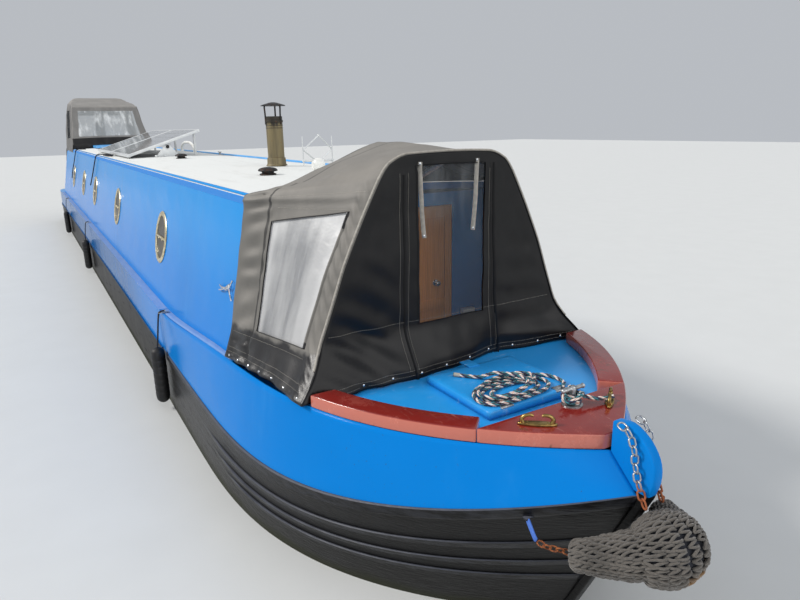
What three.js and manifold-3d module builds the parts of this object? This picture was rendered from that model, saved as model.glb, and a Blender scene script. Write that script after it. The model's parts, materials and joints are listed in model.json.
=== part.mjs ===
// A steel narrowboat, 56 ft on the hull, with a semi-traditional stern.
// Millimetres. +X points to the bow, +Y to port, +Z up.
// The origin is on the centreline of the underside of the flat base plate.
import * as THREE from 'three';
import { mergeVertices } from 'three/addons/utils/BufferGeometryUtils.js';
import Module from 'manifold-3d';

const wasm = await Module();
wasm.setup();

// Driving dimensions
const GAP = 0.3; // left between pieces that touch
const PLATE = 12; // hull plate
const HALF_BEAM = 1030; // over the plates
const STRAKE_PROUD = 12;
const DRAUGHT = 550;
const WATERLINE = DRAUGHT;
const GUNWALE = WATERLINE + 767;
const STRAKE = WATERLINE + 430; // top rubbing strake, amidships
const STRAKE_DEPTH = 50;

// Places along the boat
const CABIN_FRONT = 6550;
const BOW_START = CABIN_FRONT - 1800; // where the hull starts to close in
const COVER_FRONT = CABIN_FRONT + 686; // front panel of the cratch cover
const CANT_START = CABIN_FRONT + 710;
const BOW_PLATE_START = CABIN_FRONT + 1460;
const STEM_TOP = CABIN_FRONT + 1770; // tip of the topside plates
const SWIM_START = -5950; // the bottom closes in aft of here
const SWIM_END = -7800;
const CABIN_REAR = -7150; // aft end of the cabin sides
const STERN_CURVE = -7700; // the counter is round aft of here
const STERN_END = -8550;
const REAR_BULKHEAD = -5350;
const UXTER = WATERLINE - 50; // top of the plate under the counter
const DECK_REAR = WATERLINE + 350; // floor of the aft cockpit
const CABIN_FLOOR = 168;
const WELL_FLOOR = WATERLINE + 100;

// Cabin section
const SIDE_FOOT = 966; // half-widths of the cabin sides, at the gunwale
const SIDE_HEAD = 772; // and at the roof
const ROOF_EDGE = WATERLINE + 1762;
const CAMBER = 25;
const ROOF_THICK = 40;
const SIDE_THICK = 40;
const SIDE_TOP = ROOF_EDGE - ROOF_THICK;

const leanAt = (z) => SIDE_FOOT + (SIDE_HEAD - SIDE_FOOT) * ((z - GUNWALE) / (ROOF_EDGE - GUNWALE));

const clamp01 = (v) => Math.min(1, Math.max(0, v));
const smooth = (v) => clamp01(v) ** 2 * (3 - 2 * clamp01(v));
const mix = (a, b, t) => a + (b - a) * t;

// Solids
function strip(geometry) {
  geometry.deleteAttribute('normal');
  if (geometry.getAttribute('uv')) geometry.deleteAttribute('uv');
  return mergeVertices(geometry, 1e-4);
}
function solid(geometry) {
  const clean = strip(geometry);
  return new wasm.Manifold(new wasm.Mesh({
    numProp: 3,
    vertProperties: new Float32Array(clean.getAttribute('position').array),
    triVerts: new Uint32Array(clean.index.array),
  }));
}
function fromSolid(manifold) {
  const mesh = manifold.getMesh();
  const geometry = new THREE.BufferGeometry();
  const position = new Float32Array(mesh.numVert * 3);
  for (let i = 0; i < mesh.numVert; i += 1) {
    for (let k = 0; k < 3; k += 1) position[3 * i + k] = mesh.vertProperties[mesh.numProp * i + k];
  }
  geometry.setAttribute('position', new THREE.BufferAttribute(position, 3));
  geometry.setIndex(new THREE.BufferAttribute(new Uint32Array(mesh.triVerts), 1));
  geometry.computeVertexNormals();
  return geometry;
}
const join = (...parts) => fromSolid(parts.map(solid).reduce((a, b) => a.add(b)));
const cut = (body, ...tools) => fromSolid(tools.map(solid).reduce((a, b) => a.subtract(b), solid(body)));
const common = (a, b) => fromSolid(solid(a).intersect(solid(b)));

const shapeOf = (points) => new THREE.Shape(points.map(([a, b]) => new THREE.Vector2(a, b)));
const AXES = {
  plan: [[1, 0, 0], [0, 1, 0], [0, 0, 1]], // outline in x, y; depth along z
  section: [[0, 1, 0], [0, 0, 1], [1, 0, 0]], // outline in y, z; depth along x
  profile: [[1, 0, 0], [0, 0, 1], [0, -1, 0]], // outline in x, z; depth along y
};
function prism(kind, outline, low, high) {
  const depth = high - low;
  const geometry = new THREE.ExtrudeGeometry(shapeOf(outline), { depth, bevelEnabled: false });
  const [u, v, w] = AXES[kind].map((a) => new THREE.Vector3(...a));
  geometry.applyMatrix4(new THREE.Matrix4().makeBasis(u, v, w));
  const start = kind === 'profile' ? high : low;
  return geometry.translate(...w.clone().multiplyScalar(kind === 'profile' ? -start : start).toArray());
}
const box = (x0, x1, y0, y1, z0, z1) => new THREE.BoxGeometry(x1 - x0, y1 - y0, z1 - z0)
  .translate((x0 + x1) / 2, (y0 + y1) / 2, (z0 + z1) / 2);
function rod(a, b, radius, sides = 10, endRadius = radius) {
  const from = new THREE.Vector3(...a);
  const along = new THREE.Vector3(...b).sub(from);
  const geometry = new THREE.CylinderGeometry(endRadius, radius, along.length(), sides);
  geometry.translate(0, along.length() / 2, 0);
  geometry.applyQuaternion(new THREE.Quaternion()
    .setFromUnitVectors(new THREE.Vector3(0, 1, 0), along.clone().normalize()));
  return geometry.translate(...a);
}
const ball = (x, y, z, r, sides = 12) => new THREE.SphereGeometry(r, sides, Math.round(sides * 0.7))
  .translate(x, y, z);
function tube(points, radius, steps, sides = 8) {
  const path = new THREE.CatmullRomCurve3(points.map((p) => new THREE.Vector3(...p)), false, 'catmullrom', 0.5);
  const ring = Array.from({ length: sides }, (_, i) => [
    radius * Math.cos((2 * Math.PI * i) / sides), radius * Math.sin((2 * Math.PI * i) / sides)]);
  return new THREE.ExtrudeGeometry(shapeOf(ring), { steps, extrudePath: path, bevelEnabled: false });
}
// Turned piece: rows of radius, height
function turned(rows, x, y, z, sides = 24) {
  const profile = rows.map(([r, h]) => new THREE.Vector2(r, h));
  return new THREE.LatheGeometry(profile, sides).rotateX(Math.PI / 2).translate(x, y, z);
}
function mirrored(geometry) {
  const copy = geometry.clone().scale(1, -1, 1);
  const index = copy.index ? [...copy.index.array] : [...Array(copy.getAttribute('position').count).keys()];
  for (let i = 0; i < index.length; i += 3) [index[i + 1], index[i + 2]] = [index[i + 2], index[i + 1]];
  copy.setIndex(index);
  return copy;
}
// Wall between two grids of points, outer[i][k] and inner[i][k]
function wall(outer, inner) {
  const rows = outer.length;
  const columns = outer[0].length;
  const points = [...outer.flat(), ...inner.flat()];
  const at = (side, i, k) => side * rows * columns + i * columns + k;
  const faces = [];
  const quad = (a, b, c, d) => faces.push(a, b, c, a, c, d);
  for (let i = 0; i + 1 < rows; i += 1) {
    for (let k = 0; k + 1 < columns; k += 1) {
      quad(at(0, i, k), at(0, i + 1, k), at(0, i + 1, k + 1), at(0, i, k + 1));
      quad(at(1, i, k), at(1, i, k + 1), at(1, i + 1, k + 1), at(1, i + 1, k));
    }
    quad(at(0, i, 0), at(1, i, 0), at(1, i + 1, 0), at(0, i + 1, 0));
    quad(at(0, i, columns - 1), at(0, i + 1, columns - 1), at(1, i + 1, columns - 1), at(1, i, columns - 1));
  }
  for (let k = 0; k + 1 < columns; k += 1) {
    quad(at(0, 0, k), at(0, 0, k + 1), at(1, 0, k + 1), at(1, 0, k));
    quad(at(0, rows - 1, k), at(1, rows - 1, k), at(1, rows - 1, k + 1), at(0, rows - 1, k + 1));
  }
  const corner = (i) => new THREE.Vector3(...points[faces[i]]);
  let volume = 0;
  for (let i = 0; i < faces.length; i += 3) volume += corner(i).dot(corner(i + 1).cross(corner(i + 2)));
  if (volume < 0) faces.reverse(); // the faces point out, whichever way the grids run
  const geometry = new THREE.BufferGeometry();
  geometry.setAttribute('position', new THREE.BufferAttribute(new Float32Array(points.flat()), 3));
  geometry.setIndex(faces);
  geometry.computeVertexNormals();
  return geometry;
}

// Hull form at the bow. Each level runs from BOW_START to its stem.
// start: where it leaves the full beam; power: how bluff it is.
const LEVELS = [
  { name: 'foot', z: PLATE + GAP, rise: 0, stem: 1280, start: -1200, power: 3.2 },
  { name: 'waterline', z: WATERLINE, rise: 0, stem: 1550, start: -1000, power: 3.5 },
  { name: 'strake', z: STRAKE, rise: 350, stem: 1915, start: -800, power: 3.8 },
  { name: 'top', z: GUNWALE, rise: 0, stem: 1770, start: -1200, power: 4.7 },
];
const STEM_HALF = 37.5; // half-width where the plates meet the stem
const SHEER_RISE = 145; // the deck edge sweeps up by this much, over SHEER_LENGTH
const SHEER_LENGTH = 2200;
const TUMBLEHOME = 40;
const sheer = (x) => GUNWALE + SHEER_RISE * smooth((x - BOW_START + 100) / SHEER_LENGTH);
function levelPoint(level, u) {
  const stem = CABIN_FRONT + level.stem;
  const x = mix(BOW_START, stem, u);
  const w = clamp01((x - CABIN_FRONT - level.start) / (level.stem - level.start));
  const lean = level.name === 'top' ? TUMBLEHOME * smooth((x - BOW_START) / 1900) : 0;
  const y = STEM_HALF + (HALF_BEAM - lean - STEM_HALF) * (1 - w ** level.power);
  const z = level.name === 'top' ? sheer(x) : level.z + level.rise * u ** 4;
  return [x, y, z];
}
function bowPoint(u, t, proud = 0) {
  const low = Math.min(LEVELS.length - 2, Math.floor(t));
  const a = levelPoint(LEVELS[low], u);
  const b = levelPoint(LEVELS[low + 1], u);
  const [x, y, z] = a.map((v, i) => mix(v, b[i], t - low));
  return [x, y + proud, z];
}
const topHalf = (x) => levelPoint(LEVELS[3], clamp01((x - BOW_START) / (STEM_TOP - BOW_START)))[1];
const footHalf = (x) => levelPoint(LEVELS[0], clamp01((x - BOW_START) / (CABIN_FRONT + 1280 - BOW_START)))[1];

// Rubbing strakes on the bow, by their height between the levels
const BOW_STRAKES = [
  { at: 1.36, half: 0.025, from: 0.45 },
  { at: 1.5, half: 0.025, from: 0.4 },
  { at: 1.68, half: 0.03, from: 0.35 },
  { at: 2, half: 0.06, from: 0 },
];
const BOW_STEPS = 16;
function bowSide() {
  const outer = [];
  const inner = [];
  for (let i = 0; i <= BOW_STEPS; i += 1) {
    const u = Math.sin((Math.PI / 2) * (i / BOW_STEPS)) ** 0.9;
    const rows = [[0, 0], [1, 0]];
    for (const strake of BOW_STRAKES) {
      const proud = strake.from ? STRAKE_PROUD * smooth((u - strake.from) / 0.12) + 0.01 : STRAKE_PROUD;
      rows.push([strake.at - strake.half, 0], [strake.at - strake.half, proud]);
      rows.push([strake.at + strake.half, proud], [strake.at + strake.half, 0]);
    }
    rows.push([3, 0]);
    outer.push(rows.map(([t, proud]) => bowPoint(u, t, proud)));
    inner.push(rows.map(([t]) => bowPoint(u, t, -PLATE)));
  }
  return wall(outer, inner);
}

// Plan curves, from the bow aft, on the port side
const STEPS = 16;
const span = (a, b, n = STEPS) => Array.from({ length: n + 1 }, (_, i) => mix(a, b, i / n));
const mirrorLine = (line) => [...line, ...[...line].reverse().map(([x, y]) => [x, -y])];
function swimHalf(x) {
  const t = clamp01((SWIM_START - x) / (SWIM_START - SWIM_END));
  return 45 + (HALF_BEAM - 45) * (0.5 + 0.5 * Math.cos(Math.PI * t));
}
const sternLine = (offset) => span(0, Math.PI / 2, 12).map((a) => [
  STERN_CURVE - (STERN_CURVE - STERN_END - offset) * Math.sin(a), (HALF_BEAM - offset) * Math.cos(a)]);

const parts = {};
const COLOURS = {
  blue: ['#1f5fc0', 0.25, 0],
  black: ['#15161a', 0.5, 0],
  red: ['#7d2b27', 0.5, 0],
  roof: ['#dcdedb', 0.6, 0],
  light: ['#8fb4dc', 0.4, 0],
  wood: ['#a55a25', 0.35, 0],
  steel: ['#8d9296', 0.4, 0.9],
  bronze: ['#a98a4d', 0.35, 0.9],
  cover: ['#3a3b3d', 0.85, 0],
  cell: ['#20242c', 0.2, 0.1],
  rope: ['#57636a', 0.9, 0],
  white: ['#f0f0ee', 0.5, 0],
  khaki: ['#6d5f49', 0.6, 0.3],
  engine: ['#2e6b46', 0.5, 0.3],
  rubber: ['#101012', 0.7, 0],
};
function add(name, colour, geometry) {
  const [color, roughness, metalness] = COLOURS[colour];
  const mesh = new THREE.Mesh(geometry, new THREE.MeshStandardMaterial({ color, roughness, metalness }));
  mesh.name = name;
  parts[name] = mesh;
}
const SIDES = [['port', 1], ['starboard', -1]];
const onSide = (geometry, sign) => (sign > 0 ? geometry : mirrored(geometry));

// Hull
const bowEdge = span(BOW_START, CABIN_FRONT + 1280).map((x) => [x, footHalf(x)]);
const swimEdge = span(SWIM_START, SWIM_END).map((x) => [x, swimHalf(x)]);
const baseLine = [[CABIN_FRONT + 1335, STEM_HALF], ...bowEdge.reverse(), ...swimEdge];
add('base_plate', 'black', prism('plan', mirrorLine(baseLine), 0, PLATE));

const strakeRows = (z) => [
  [HALF_BEAM, z - STRAKE_DEPTH / 2], [HALF_BEAM + STRAKE_PROUD, z - STRAKE_DEPTH / 2],
  [HALF_BEAM + STRAKE_PROUD, z + STRAKE_DEPTH / 2], [HALF_BEAM, z + STRAKE_DEPTH / 2]];
const sideSection = (bottom) => [
  [HALF_BEAM - PLATE, bottom], [HALF_BEAM, bottom], ...strakeRows(STRAKE), [HALF_BEAM, GUNWALE],
  [SIDE_FOOT - SIDE_THICK, GUNWALE], [SIDE_FOOT - SIDE_THICK, GUNWALE - PLATE],
  [HALF_BEAM - PLATE, GUNWALE - PLATE]];
const hullSide = join(
  prism('section', sideSection(PLATE + GAP), SWIM_START, BOW_START - GAP),
  prism('section', sideSection(UXTER + GAP), CABIN_REAR, SWIM_START + 10),
);
const swim = prism('plan', [
  ...swimEdge.map(([x, y]) => [x - GAP, y]),
  ...[...swimEdge].reverse().map(([x, y]) => [x - GAP, y - PLATE])], PLATE + GAP, UXTER - PLATE - GAP);
// Side deck between the cabin and the hull, forward of the parallel part
const deckStrip = (drop) => span(BOW_START, CABIN_FRONT, 10).map((x) => [
  [x, leanAt(sheer(x)) - SIDE_THICK, sheer(x) - drop], [x, topHalf(x) - PLATE / 2, sheer(x) - drop]]);
const sideDeck = wall(deckStrip(0.5), deckStrip(PLATE));
// Lug under the top strake that the fender's stay is shackled to
const LUG = { x: CABIN_FRONT + 1672, y: 322, z: WATERLINE + 664 };
const lug = box(LUG.x - 12, LUG.x + 12, LUG.y - 40, LUG.y + 22, LUG.z, LUG.z + 8);
for (const [side, sign] of SIDES) {
  add(`hull_side_${side}`, 'blue', onSide(hullSide, sign));
  add(`bow_side_${side}`, 'blue', onSide(join(bowSide(), sideDeck, lug), sign));
}

// Counter: the round stern above the water, with its strake
const counterOuter = [[CABIN_REAR - GAP, HALF_BEAM], ...sternLine(0)];
const counterInner = [[CABIN_REAR - GAP, HALF_BEAM - PLATE], ...sternLine(PLATE)];
const ringPlan = (outer, inner) => [...mirrorLine(outer), ...mirrorLine(inner).reverse()];
const strakeOuter = [[CABIN_REAR - GAP, HALF_BEAM + STRAKE_PROUD], ...sternLine(-STRAKE_PROUD)];
add('counter', 'blue', join(
  prism('plan', ringPlan(counterOuter, counterInner), UXTER + GAP, GUNWALE - PLATE - GAP),
  prism('plan', ringPlan(strakeOuter, counterInner), STRAKE - STRAKE_DEPTH / 2, STRAKE + STRAKE_DEPTH / 2),
));
const RUDDER_STOCK = STERN_END + 320; // X of the rudder's axis
const STOCK_RADIUS = 22;
const stockHole = (low, high) => new THREE.CylinderGeometry(STOCK_RADIUS + 5, STOCK_RADIUS + 5, high - low, 20)
  .rotateX(Math.PI / 2).translate(RUDDER_STOCK, 0, (low + high) / 2);
add('stern_deck', 'blue', cut(
  prism('plan', mirrorLine(counterOuter), GUNWALE - PLATE, GUNWALE),
  stockHole(GUNWALE - 40, GUNWALE + 40),
));
// Plate under the counter, open over the swim
const uxterOuter = [[SWIM_START - GAP, HALF_BEAM], [STERN_CURVE, HALF_BEAM], ...sternLine(0).slice(1)];
const uxterOpening = swimEdge.map(([x, y]) => [x === SWIM_START ? x + 50 : x, Math.max(y - 20, 30)]);
add('uxter_plate', 'black', cut(
  prism('plan', mirrorLine(uxterOuter), UXTER - PLATE, UXTER),
  prism('plan', mirrorLine(uxterOpening.slice(0, -2)), UXTER - 50, UXTER + 50),
  stockHole(UXTER - 60, UXTER + 60),
));

// Stern gear
const SHAFT = 270; // height of the propeller shaft
const PROP = { x: -7990, radius: 215, hub: 42, thick: 12, pitch: 1.05 };
const TUBE_BORE = 26;
add('swim', 'black', cut(
  join(
    swim,
    mirrored(swim),
    box(SWIM_END - 60, SWIM_END - GAP * 2, -32, 32, PLATE + GAP + 22, UXTER - PLATE - GAP),
    rod([SWIM_END - 110, 0, SHAFT], [SWIM_END + 300, 0, SHAFT], 38, 16),
    box(RUDDER_STOCK - 60, SWIM_END - GAP * 2, -38, 38, PLATE, PLATE + 26),
  ),
  rod([SWIM_END - 200, 0, SHAFT], [SWIM_END + 400, 0, SHAFT], TUBE_BORE, 16),
));
function blade(turn) {
  const outline = new THREE.Shape();
  outline.moveTo(-25, 20);
  outline.bezierCurveTo(-90, 90, -85, 190, 10, PROP.radius);
  outline.bezierCurveTo(90, 190, 80, 80, 25, 20);
  const geometry = new THREE.ExtrudeGeometry(outline, { depth: PROP.thick, bevelEnabled: false, curveSegments: 6 });
  return geometry.translate(0, 0, -PROP.thick / 2).rotateY(PROP.pitch).rotateX(turn).translate(PROP.x, 0, SHAFT);
}
add('propeller', 'bronze', join(
  rod([PROP.x - 60, 0, SHAFT], [PROP.x + 60, 0, SHAFT], PROP.hub * 0.6, 16, PROP.hub),
  rod([PROP.x + 50, 0, SHAFT], [SWIM_END + 500, 0, SHAFT], 19, 12),
  ...[0, 1, 2].map((i) => blade((2 * Math.PI * i) / 3)),
));
const rudderBlade = prism('profile', [
  [RUDDER_STOCK + 150, 60], [RUDDER_STOCK + 150, 400], [RUDDER_STOCK + 110, 455], [RUDDER_STOCK - 285, 455],
  [RUDDER_STOCK - 300, 420], [RUDDER_STOCK - 300, 75], [RUDDER_STOCK - 285, 60]], -8, 8);
add('rudder', 'black', join(
  rudderBlade,
  rod([RUDDER_STOCK, 0, PLATE + 26 + 4], [RUDDER_STOCK, 0, GUNWALE + 60], STOCK_RADIUS, 16),
));
const TILLER_TOP = GUNWALE + 470;
add('tiller', 'light', join(
  rod([RUDDER_STOCK, 0, GUNWALE + 60 + GAP], [RUDDER_STOCK, 0, GUNWALE + 130], 34, 16),
  tube([
    [RUDDER_STOCK, 0, GUNWALE + 100], [RUDDER_STOCK - 60, 0, GUNWALE + 230],
    [RUDDER_STOCK - 20, 0, GUNWALE + 390], [RUDDER_STOCK + 120, 0, TILLER_TOP]], 20, 12, 10),
  rod([RUDDER_STOCK + 110, 0, TILLER_TOP - 2], [RUDDER_STOCK + 820, 0, TILLER_TOP + 110], 17, 12, 12),
  rod([RUDDER_STOCK + 700, 0, TILLER_TOP + 91], [RUDDER_STOCK + 840, 0, TILLER_TOP + 113], 19, 12),
));

// Stem: a thick bar with a rounded head
const STEM_LINE = [ // distance ahead of the cabin, height above the waterline
  [1336, -DRAUGHT + PLATE + GAP], [1590, 0], [1955, 780], [1977, 860], [1972, 930], [1940, 985], [1895, 1022],
  [1840, 1042], [1776, 1034], [1776, 880], [1850, 780], [1480, 0], [1226, -DRAUGHT + PLATE + GAP]];
add('stem', 'blue', prism('profile', STEM_LINE.map(([x, z]) => [CABIN_FRONT + x, WATERLINE + z]), -25, 25));

// Decks
const deckEdge = span(CABIN_FRONT + 690, CABIN_FRONT + 1690, 14).map((x) => [x, topHalf(x) - PLATE - 8]);
const DECK_Z = GUNWALE + SHEER_RISE;
const LID = { aft: CABIN_FRONT + 860, front: CABIN_FRONT + 1340, half: 260, height: 42 };
const LOCKER_OPENING = { aft: LID.aft + 45, front: LID.front - 75, half: 200 };
const ringBox = (aft, front, half, thick, low, high) => cut(
  box(aft - thick, front + thick, -half - thick, half + thick, low, high),
  box(aft, front, -half, half, low - 10, high + 10),
);
const { aft: openAft, front: openFront, half: openHalf } = LOCKER_OPENING;
add('foredeck', 'blue', join(
  cut(
    prism('plan', mirrorLine([...deckEdge].reverse()), DECK_Z - 10, DECK_Z - GAP),
    box(openAft, openFront, -openHalf, openHalf, DECK_Z - 50, DECK_Z + 50),
  ),
  ringBox(openAft, openFront, openHalf, 8, DECK_Z - 9, DECK_Z + 18),
));
add('locker_lid', 'blue', join(
  cut(
    box(LID.aft, LID.front, -LID.half, LID.half, DECK_Z + 3, DECK_Z + LID.height),
    box(LID.aft + 6, LID.front - 6, -LID.half + 6, LID.half - 6, DECK_Z - 10, DECK_Z + LID.height - 6),
  ),
  box(LID.aft - 20, LID.aft + 20, -20, 20, DECK_Z + LID.height - 4, DECK_Z + LID.height + 12),
));
const LOCKER_BULKHEAD = { x: CABIN_FRONT + 655, half: topHalf(CABIN_FRONT + 655) - 90, thick: 8 };
const wellEdge = span(LOCKER_BULKHEAD.x + 4, CABIN_FRONT + 1, 6)
  .map((x) => [x, mix(footHalf(x), topHalf(x), 0.5) - 60]);
add('well_deck', 'blue', join(
  box(LOCKER_BULKHEAD.x, LOCKER_BULKHEAD.x + LOCKER_BULKHEAD.thick, -LOCKER_BULKHEAD.half, LOCKER_BULKHEAD.half,
    WELL_FLOOR - 10, DECK_Z - 14),
  prism('plan', mirrorLine(wellEdge), WELL_FLOOR - 10, WELL_FLOOR),
));

const CANT = { width: 115, height: 60 };
const cantOuter = span(CANT_START, BOW_PLATE_START, 12);
const inward = (x) => { // normal of the deck edge, pointing to the centreline
  const slope = (topHalf(x + 1) - topHalf(x - 1)) / 2;
  const length = Math.hypot(1, slope);
  return [slope / length, -1 / length];
};
const cantLine = cantOuter.map((x) => [x, topHalf(x)]);
const cantInner = cantOuter.map((x) => {
  const [nx, ny] = inward(x);
  const innerX = Math.min(BOW_PLATE_START, Math.max(CANT_START, x + nx * CANT.width));
  return [innerX, topHalf(x) + ny * CANT.width];
});
const cant = prism('plan', [...cantLine, ...[...cantInner].reverse()], DECK_Z + GAP, DECK_Z + CANT.height);
for (const [side, sign] of SIDES) add(`cant_${side}`, 'red', onSide(cant, sign));
const plateLine = span(BOW_PLATE_START + GAP, STEM_TOP - 4, 14).map((x) => [x, topHalf(x)]);
const BOW_PLATE_TOP = DECK_Z + CANT.height + 4;
add('bow_plate', 'red', prism('plan', mirrorLine([...plateLine].reverse()), DECK_Z + GAP, BOW_PLATE_TOP));

// Fittings on the bow plate
const PLATE_TOP = BOW_PLATE_TOP + GAP;
const FAIRLEADS = [['starboard', 1568, -205, 0.88], ['port', 1571, 200, -0.9]];
for (const [side, x, y, turn] of FAIRLEADS) {
  const horn = (s) => rod([s * 58, 0, 0], [s * 20, 0, 34], 9, 8);
  const body = join(box(-78, 78, -18, 18, 0, 10), horn(1).translate(0, 0, 10), horn(-1).translate(0, 0, 10));
  add(`fairlead_${side}`, 'bronze', body.rotateZ(turn).translate(CABIN_FRONT + x, y, PLATE_TOP));
}
const STUD = [CABIN_FRONT + 1506, 46];
add('mooring_stud', 'steel', join(
  rod([STUD[0], STUD[1], PLATE_TOP], [STUD[0], STUD[1], PLATE_TOP + 85], 14, 14),
  rod([STUD[0], STUD[1] - 60, PLATE_TOP + 72], [STUD[0], STUD[1] + 60, PLATE_TOP + 72], 9, 10),
  turned([[0, 0], [45, 0], [45, 6], [0, 6]], STUD[0], STUD[1], PLATE_TOP, 18),
));

// Mooring rope: made fast on the stud, led to the port fairlead, its spare end lying on the lid
const ROPE = 9; // radius
const LAID = DECK_Z + LID.height + ROPE + 0.5; // height of its centre where it lies on the lid
const ROPE_ROUTE = [ // distance ahead of the cabin, across, layer
  [1328, 168, 0], [1300, 205, 0], [1235, 218, 0], [1165, 180, 0], [1118, 70, 0], [1112, -60, 0],
  [1150, -190, 0], [1235, -245, 0], [1305, -215, 0], [1325, -110, 0], [1318, 10, 0], [1302, 95, 0],
  [1255, 150, 0], [1195, 140, 0], [1150, 60, 0], [1142, -50, 0], [1172, -160, 0], [1235, -210, 0],
  [1285, -180, 0], [1300, -90, 0], [1290, 0, 0], [1272, 68, 0], [1245, 98, 0], [1214, 97, 0],
  [1186, 58, 0], [1172, -30, 0], [1188, -110, 0], [1225, -155, 0], [1262, -140, 0.1], [1277, -80, 0.5],
  [1268, 0, 1], [1242, 66, 1], [1206, 108, 1], [1164, 116, 1], [1130, 80, 1], [1118, 0, 1],
  [1130, -95, 1], [1175, -190, 1], [1228, -224, 1], [1278, -208, 1], [1304, -150, 1], [1306, -80, 1.2],
  [1288, -10, 1.85], [1244, 26, 2.15], [1188, 18, 2.15], [1128, -24, 2.15], [1100, -45, 1.9],
  [1066, -64, 0.9], [1040, -80, 0.2], [1000, -110, 0], [940, -160, 0]];
add('mooring_rope', 'rope', tube(
  ROPE_ROUTE.map(([x, y, layer]) => [CABIN_FRONT + x, y, LAID + layer * (2 * ROPE + 1)]), ROPE, 110, 8));
const knotZ = PLATE_TOP + 8;
const aroundStud = (x, y, z) => [STUD[0] + x, STUD[1] + y, knotZ + z];
add('rope_knot', 'rope', join(
  cut(
    turned([[0, 0], [40, 0], [46, 10], [46, 40], [38, 50], [0, 50]], STUD[0], STUD[1], knotZ, 16),
    rod([STUD[0], STUD[1], knotZ - 20], [STUD[0], STUD[1], knotZ + 90], 15, 14),
  ),
  tube([aroundStud(-34, 18, 12), aroundStud(-78, 66, 8), aroundStud(-112, 100, 2), aroundStud(-130, 118, -2)],
    ROPE, 9, 8),
  tube([aroundStud(30, 20, 24), aroundStud(50, 70, 20), aroundStud(62, 120, 14), aroundStud(69, 169, 12)],
    ROPE, 9, 8),
));

// Bow fender with its chains
const FENDER = { x: 2052, z: 630, radius: 130, tip: [1835, 245, 575], tipRadius: 55 };
const fenderAt = (x, y, z) => [CABIN_FRONT + x, y, WATERLINE + z];
const armTip = (s) => fenderAt(FENDER.tip[0], s * FENDER.tip[1], FENDER.tip[2]);
const arm = (s) => join(
  rod(fenderAt(FENDER.x, 0, FENDER.z), armTip(s), 80, 10, FENDER.tipRadius),
  ball(...armTip(s), FENDER.tipRadius, 10),
);

// Links of a chain that hangs along a path, each fused to the next
function chain(points) {
  const link = 44;
  const wire = 8;
  const path = new THREE.CatmullRomCurve3(points.map((p) => new THREE.Vector3(...p)));
  const count = Math.round(path.getLength() / (link * 0.76)); // pulled tight, so neighbours touch
  return Array.from({ length: count }, (_, i) => {
    const centre = path.getPointAt((i + 0.5) / count);
    const along = path.getTangentAt((i + 0.5) / count);
    const ring = new THREE.TorusGeometry(link * 0.32, wire / 2, 4, 6).scale(1, 1.5, 1);
    ring.rotateY(i % 2 ? Math.PI / 2 : 0);
    ring.applyQuaternion(new THREE.Quaternion().setFromUnitVectors(new THREE.Vector3(0, 1, 0), along));
    return ring.translate(centre.x, centre.y, centre.z);
  });
}
const STAY = [[1690, 345, 652], [1722, 350, 620], [1765, 330, 598], [1815, 272, 585]];
const stay = (s) => chain(STAY.map(([x, y, z]) => fenderAt(x, s * y, z)));
add('bow_fender', 'rope', join(
  ball(...fenderAt(FENDER.x, 0, FENDER.z), FENDER.radius, 14), arm(1), arm(-1), ...stay(1), ...stay(-1)));
const HEAD_CHAIN = [[1860, 1050], [1892, 1000], [1913, 910], [1938, 832], [1972, 752]]; // down the stem's head
for (const [side, s] of SIDES) {
  add(`fender_chain_${side}`, 'steel', join(...chain(HEAD_CHAIN.map(([x, z]) => fenderAt(x, s * 46, z)))));
}

// Cabin
const PORTHOLES = [-2240, -4880, -7300, -9120, -11190];
const PORTHOLE = { z: WATERLINE + 1262, radius: 190 };
const sideStart = (x) => sheer(x) + GAP;
const sidePanel = prism('section', [
  [SIDE_FOOT, GUNWALE + GAP], [leanAt(SIDE_TOP - GAP), SIDE_TOP - GAP],
  [leanAt(SIDE_TOP - GAP) - SIDE_THICK, SIDE_TOP - GAP], [SIDE_FOOT - SIDE_THICK, GUNWALE + GAP],
], CABIN_REAR, CABIN_FRONT);
const risingDeck = prism('profile', [
  ...span(BOW_START - 10, CABIN_FRONT + 20, 12).map((x) => [x, sideStart(x)]),
  [CABIN_FRONT + 20, GUNWALE - 50], [BOW_START - 10, GUNWALE - 50]], 700, 1100);
const portholeCut = (x) => rod([CABIN_FRONT + x, leanAt(PORTHOLE.z) - 200, PORTHOLE.z - 39],
  [CABIN_FRONT + x, leanAt(PORTHOLE.z) + 200, PORTHOLE.z + 39], PORTHOLE.radius, 20);
const cabinSide = cut(sidePanel, risingDeck, ...PORTHOLES.map(portholeCut));
for (const [side, sign] of SIDES) {
  add(`cabin_side_${side}`, 'blue', onSide(cabinSide, sign));
}
const roofArc = (half, edge, camber) => span(-1, 1, 12).map((t) => [half * t, edge + camber * (1 - t * t)]);
const roofZ = (y) => ROOF_EDGE + CAMBER * (1 - (y / SIDE_HEAD) ** 2);
const HATCH = { half: 340, front: REAR_BULKHEAD + 720 };
const roofSection = [
  ...roofArc(SIDE_HEAD, ROOF_EDGE, CAMBER).reverse(), ...roofArc(leanAt(SIDE_TOP), SIDE_TOP, CAMBER)];
add('roof', 'roof', cut(
  prism('section', roofSection, REAR_BULKHEAD, CABIN_FRONT),
  box(REAR_BULKHEAD - 10, HATCH.front, -HATCH.half, HATCH.half, ROOF_EDGE - 200, ROOF_EDGE + 200),
));
for (const [side, sign] of SIDES) {
  const top = ROOF_EDGE + (sign > 0 ? 22 : 14);
  const section = [[732, roofZ(732) + GAP], [760, roofZ(760) + 2], [757, top], [735, top]];
  add(`handrail_${side}`, 'light', onSide(prism('section', section, REAR_BULKHEAD + 50, CABIN_FRONT - 45), sign));
}

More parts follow.
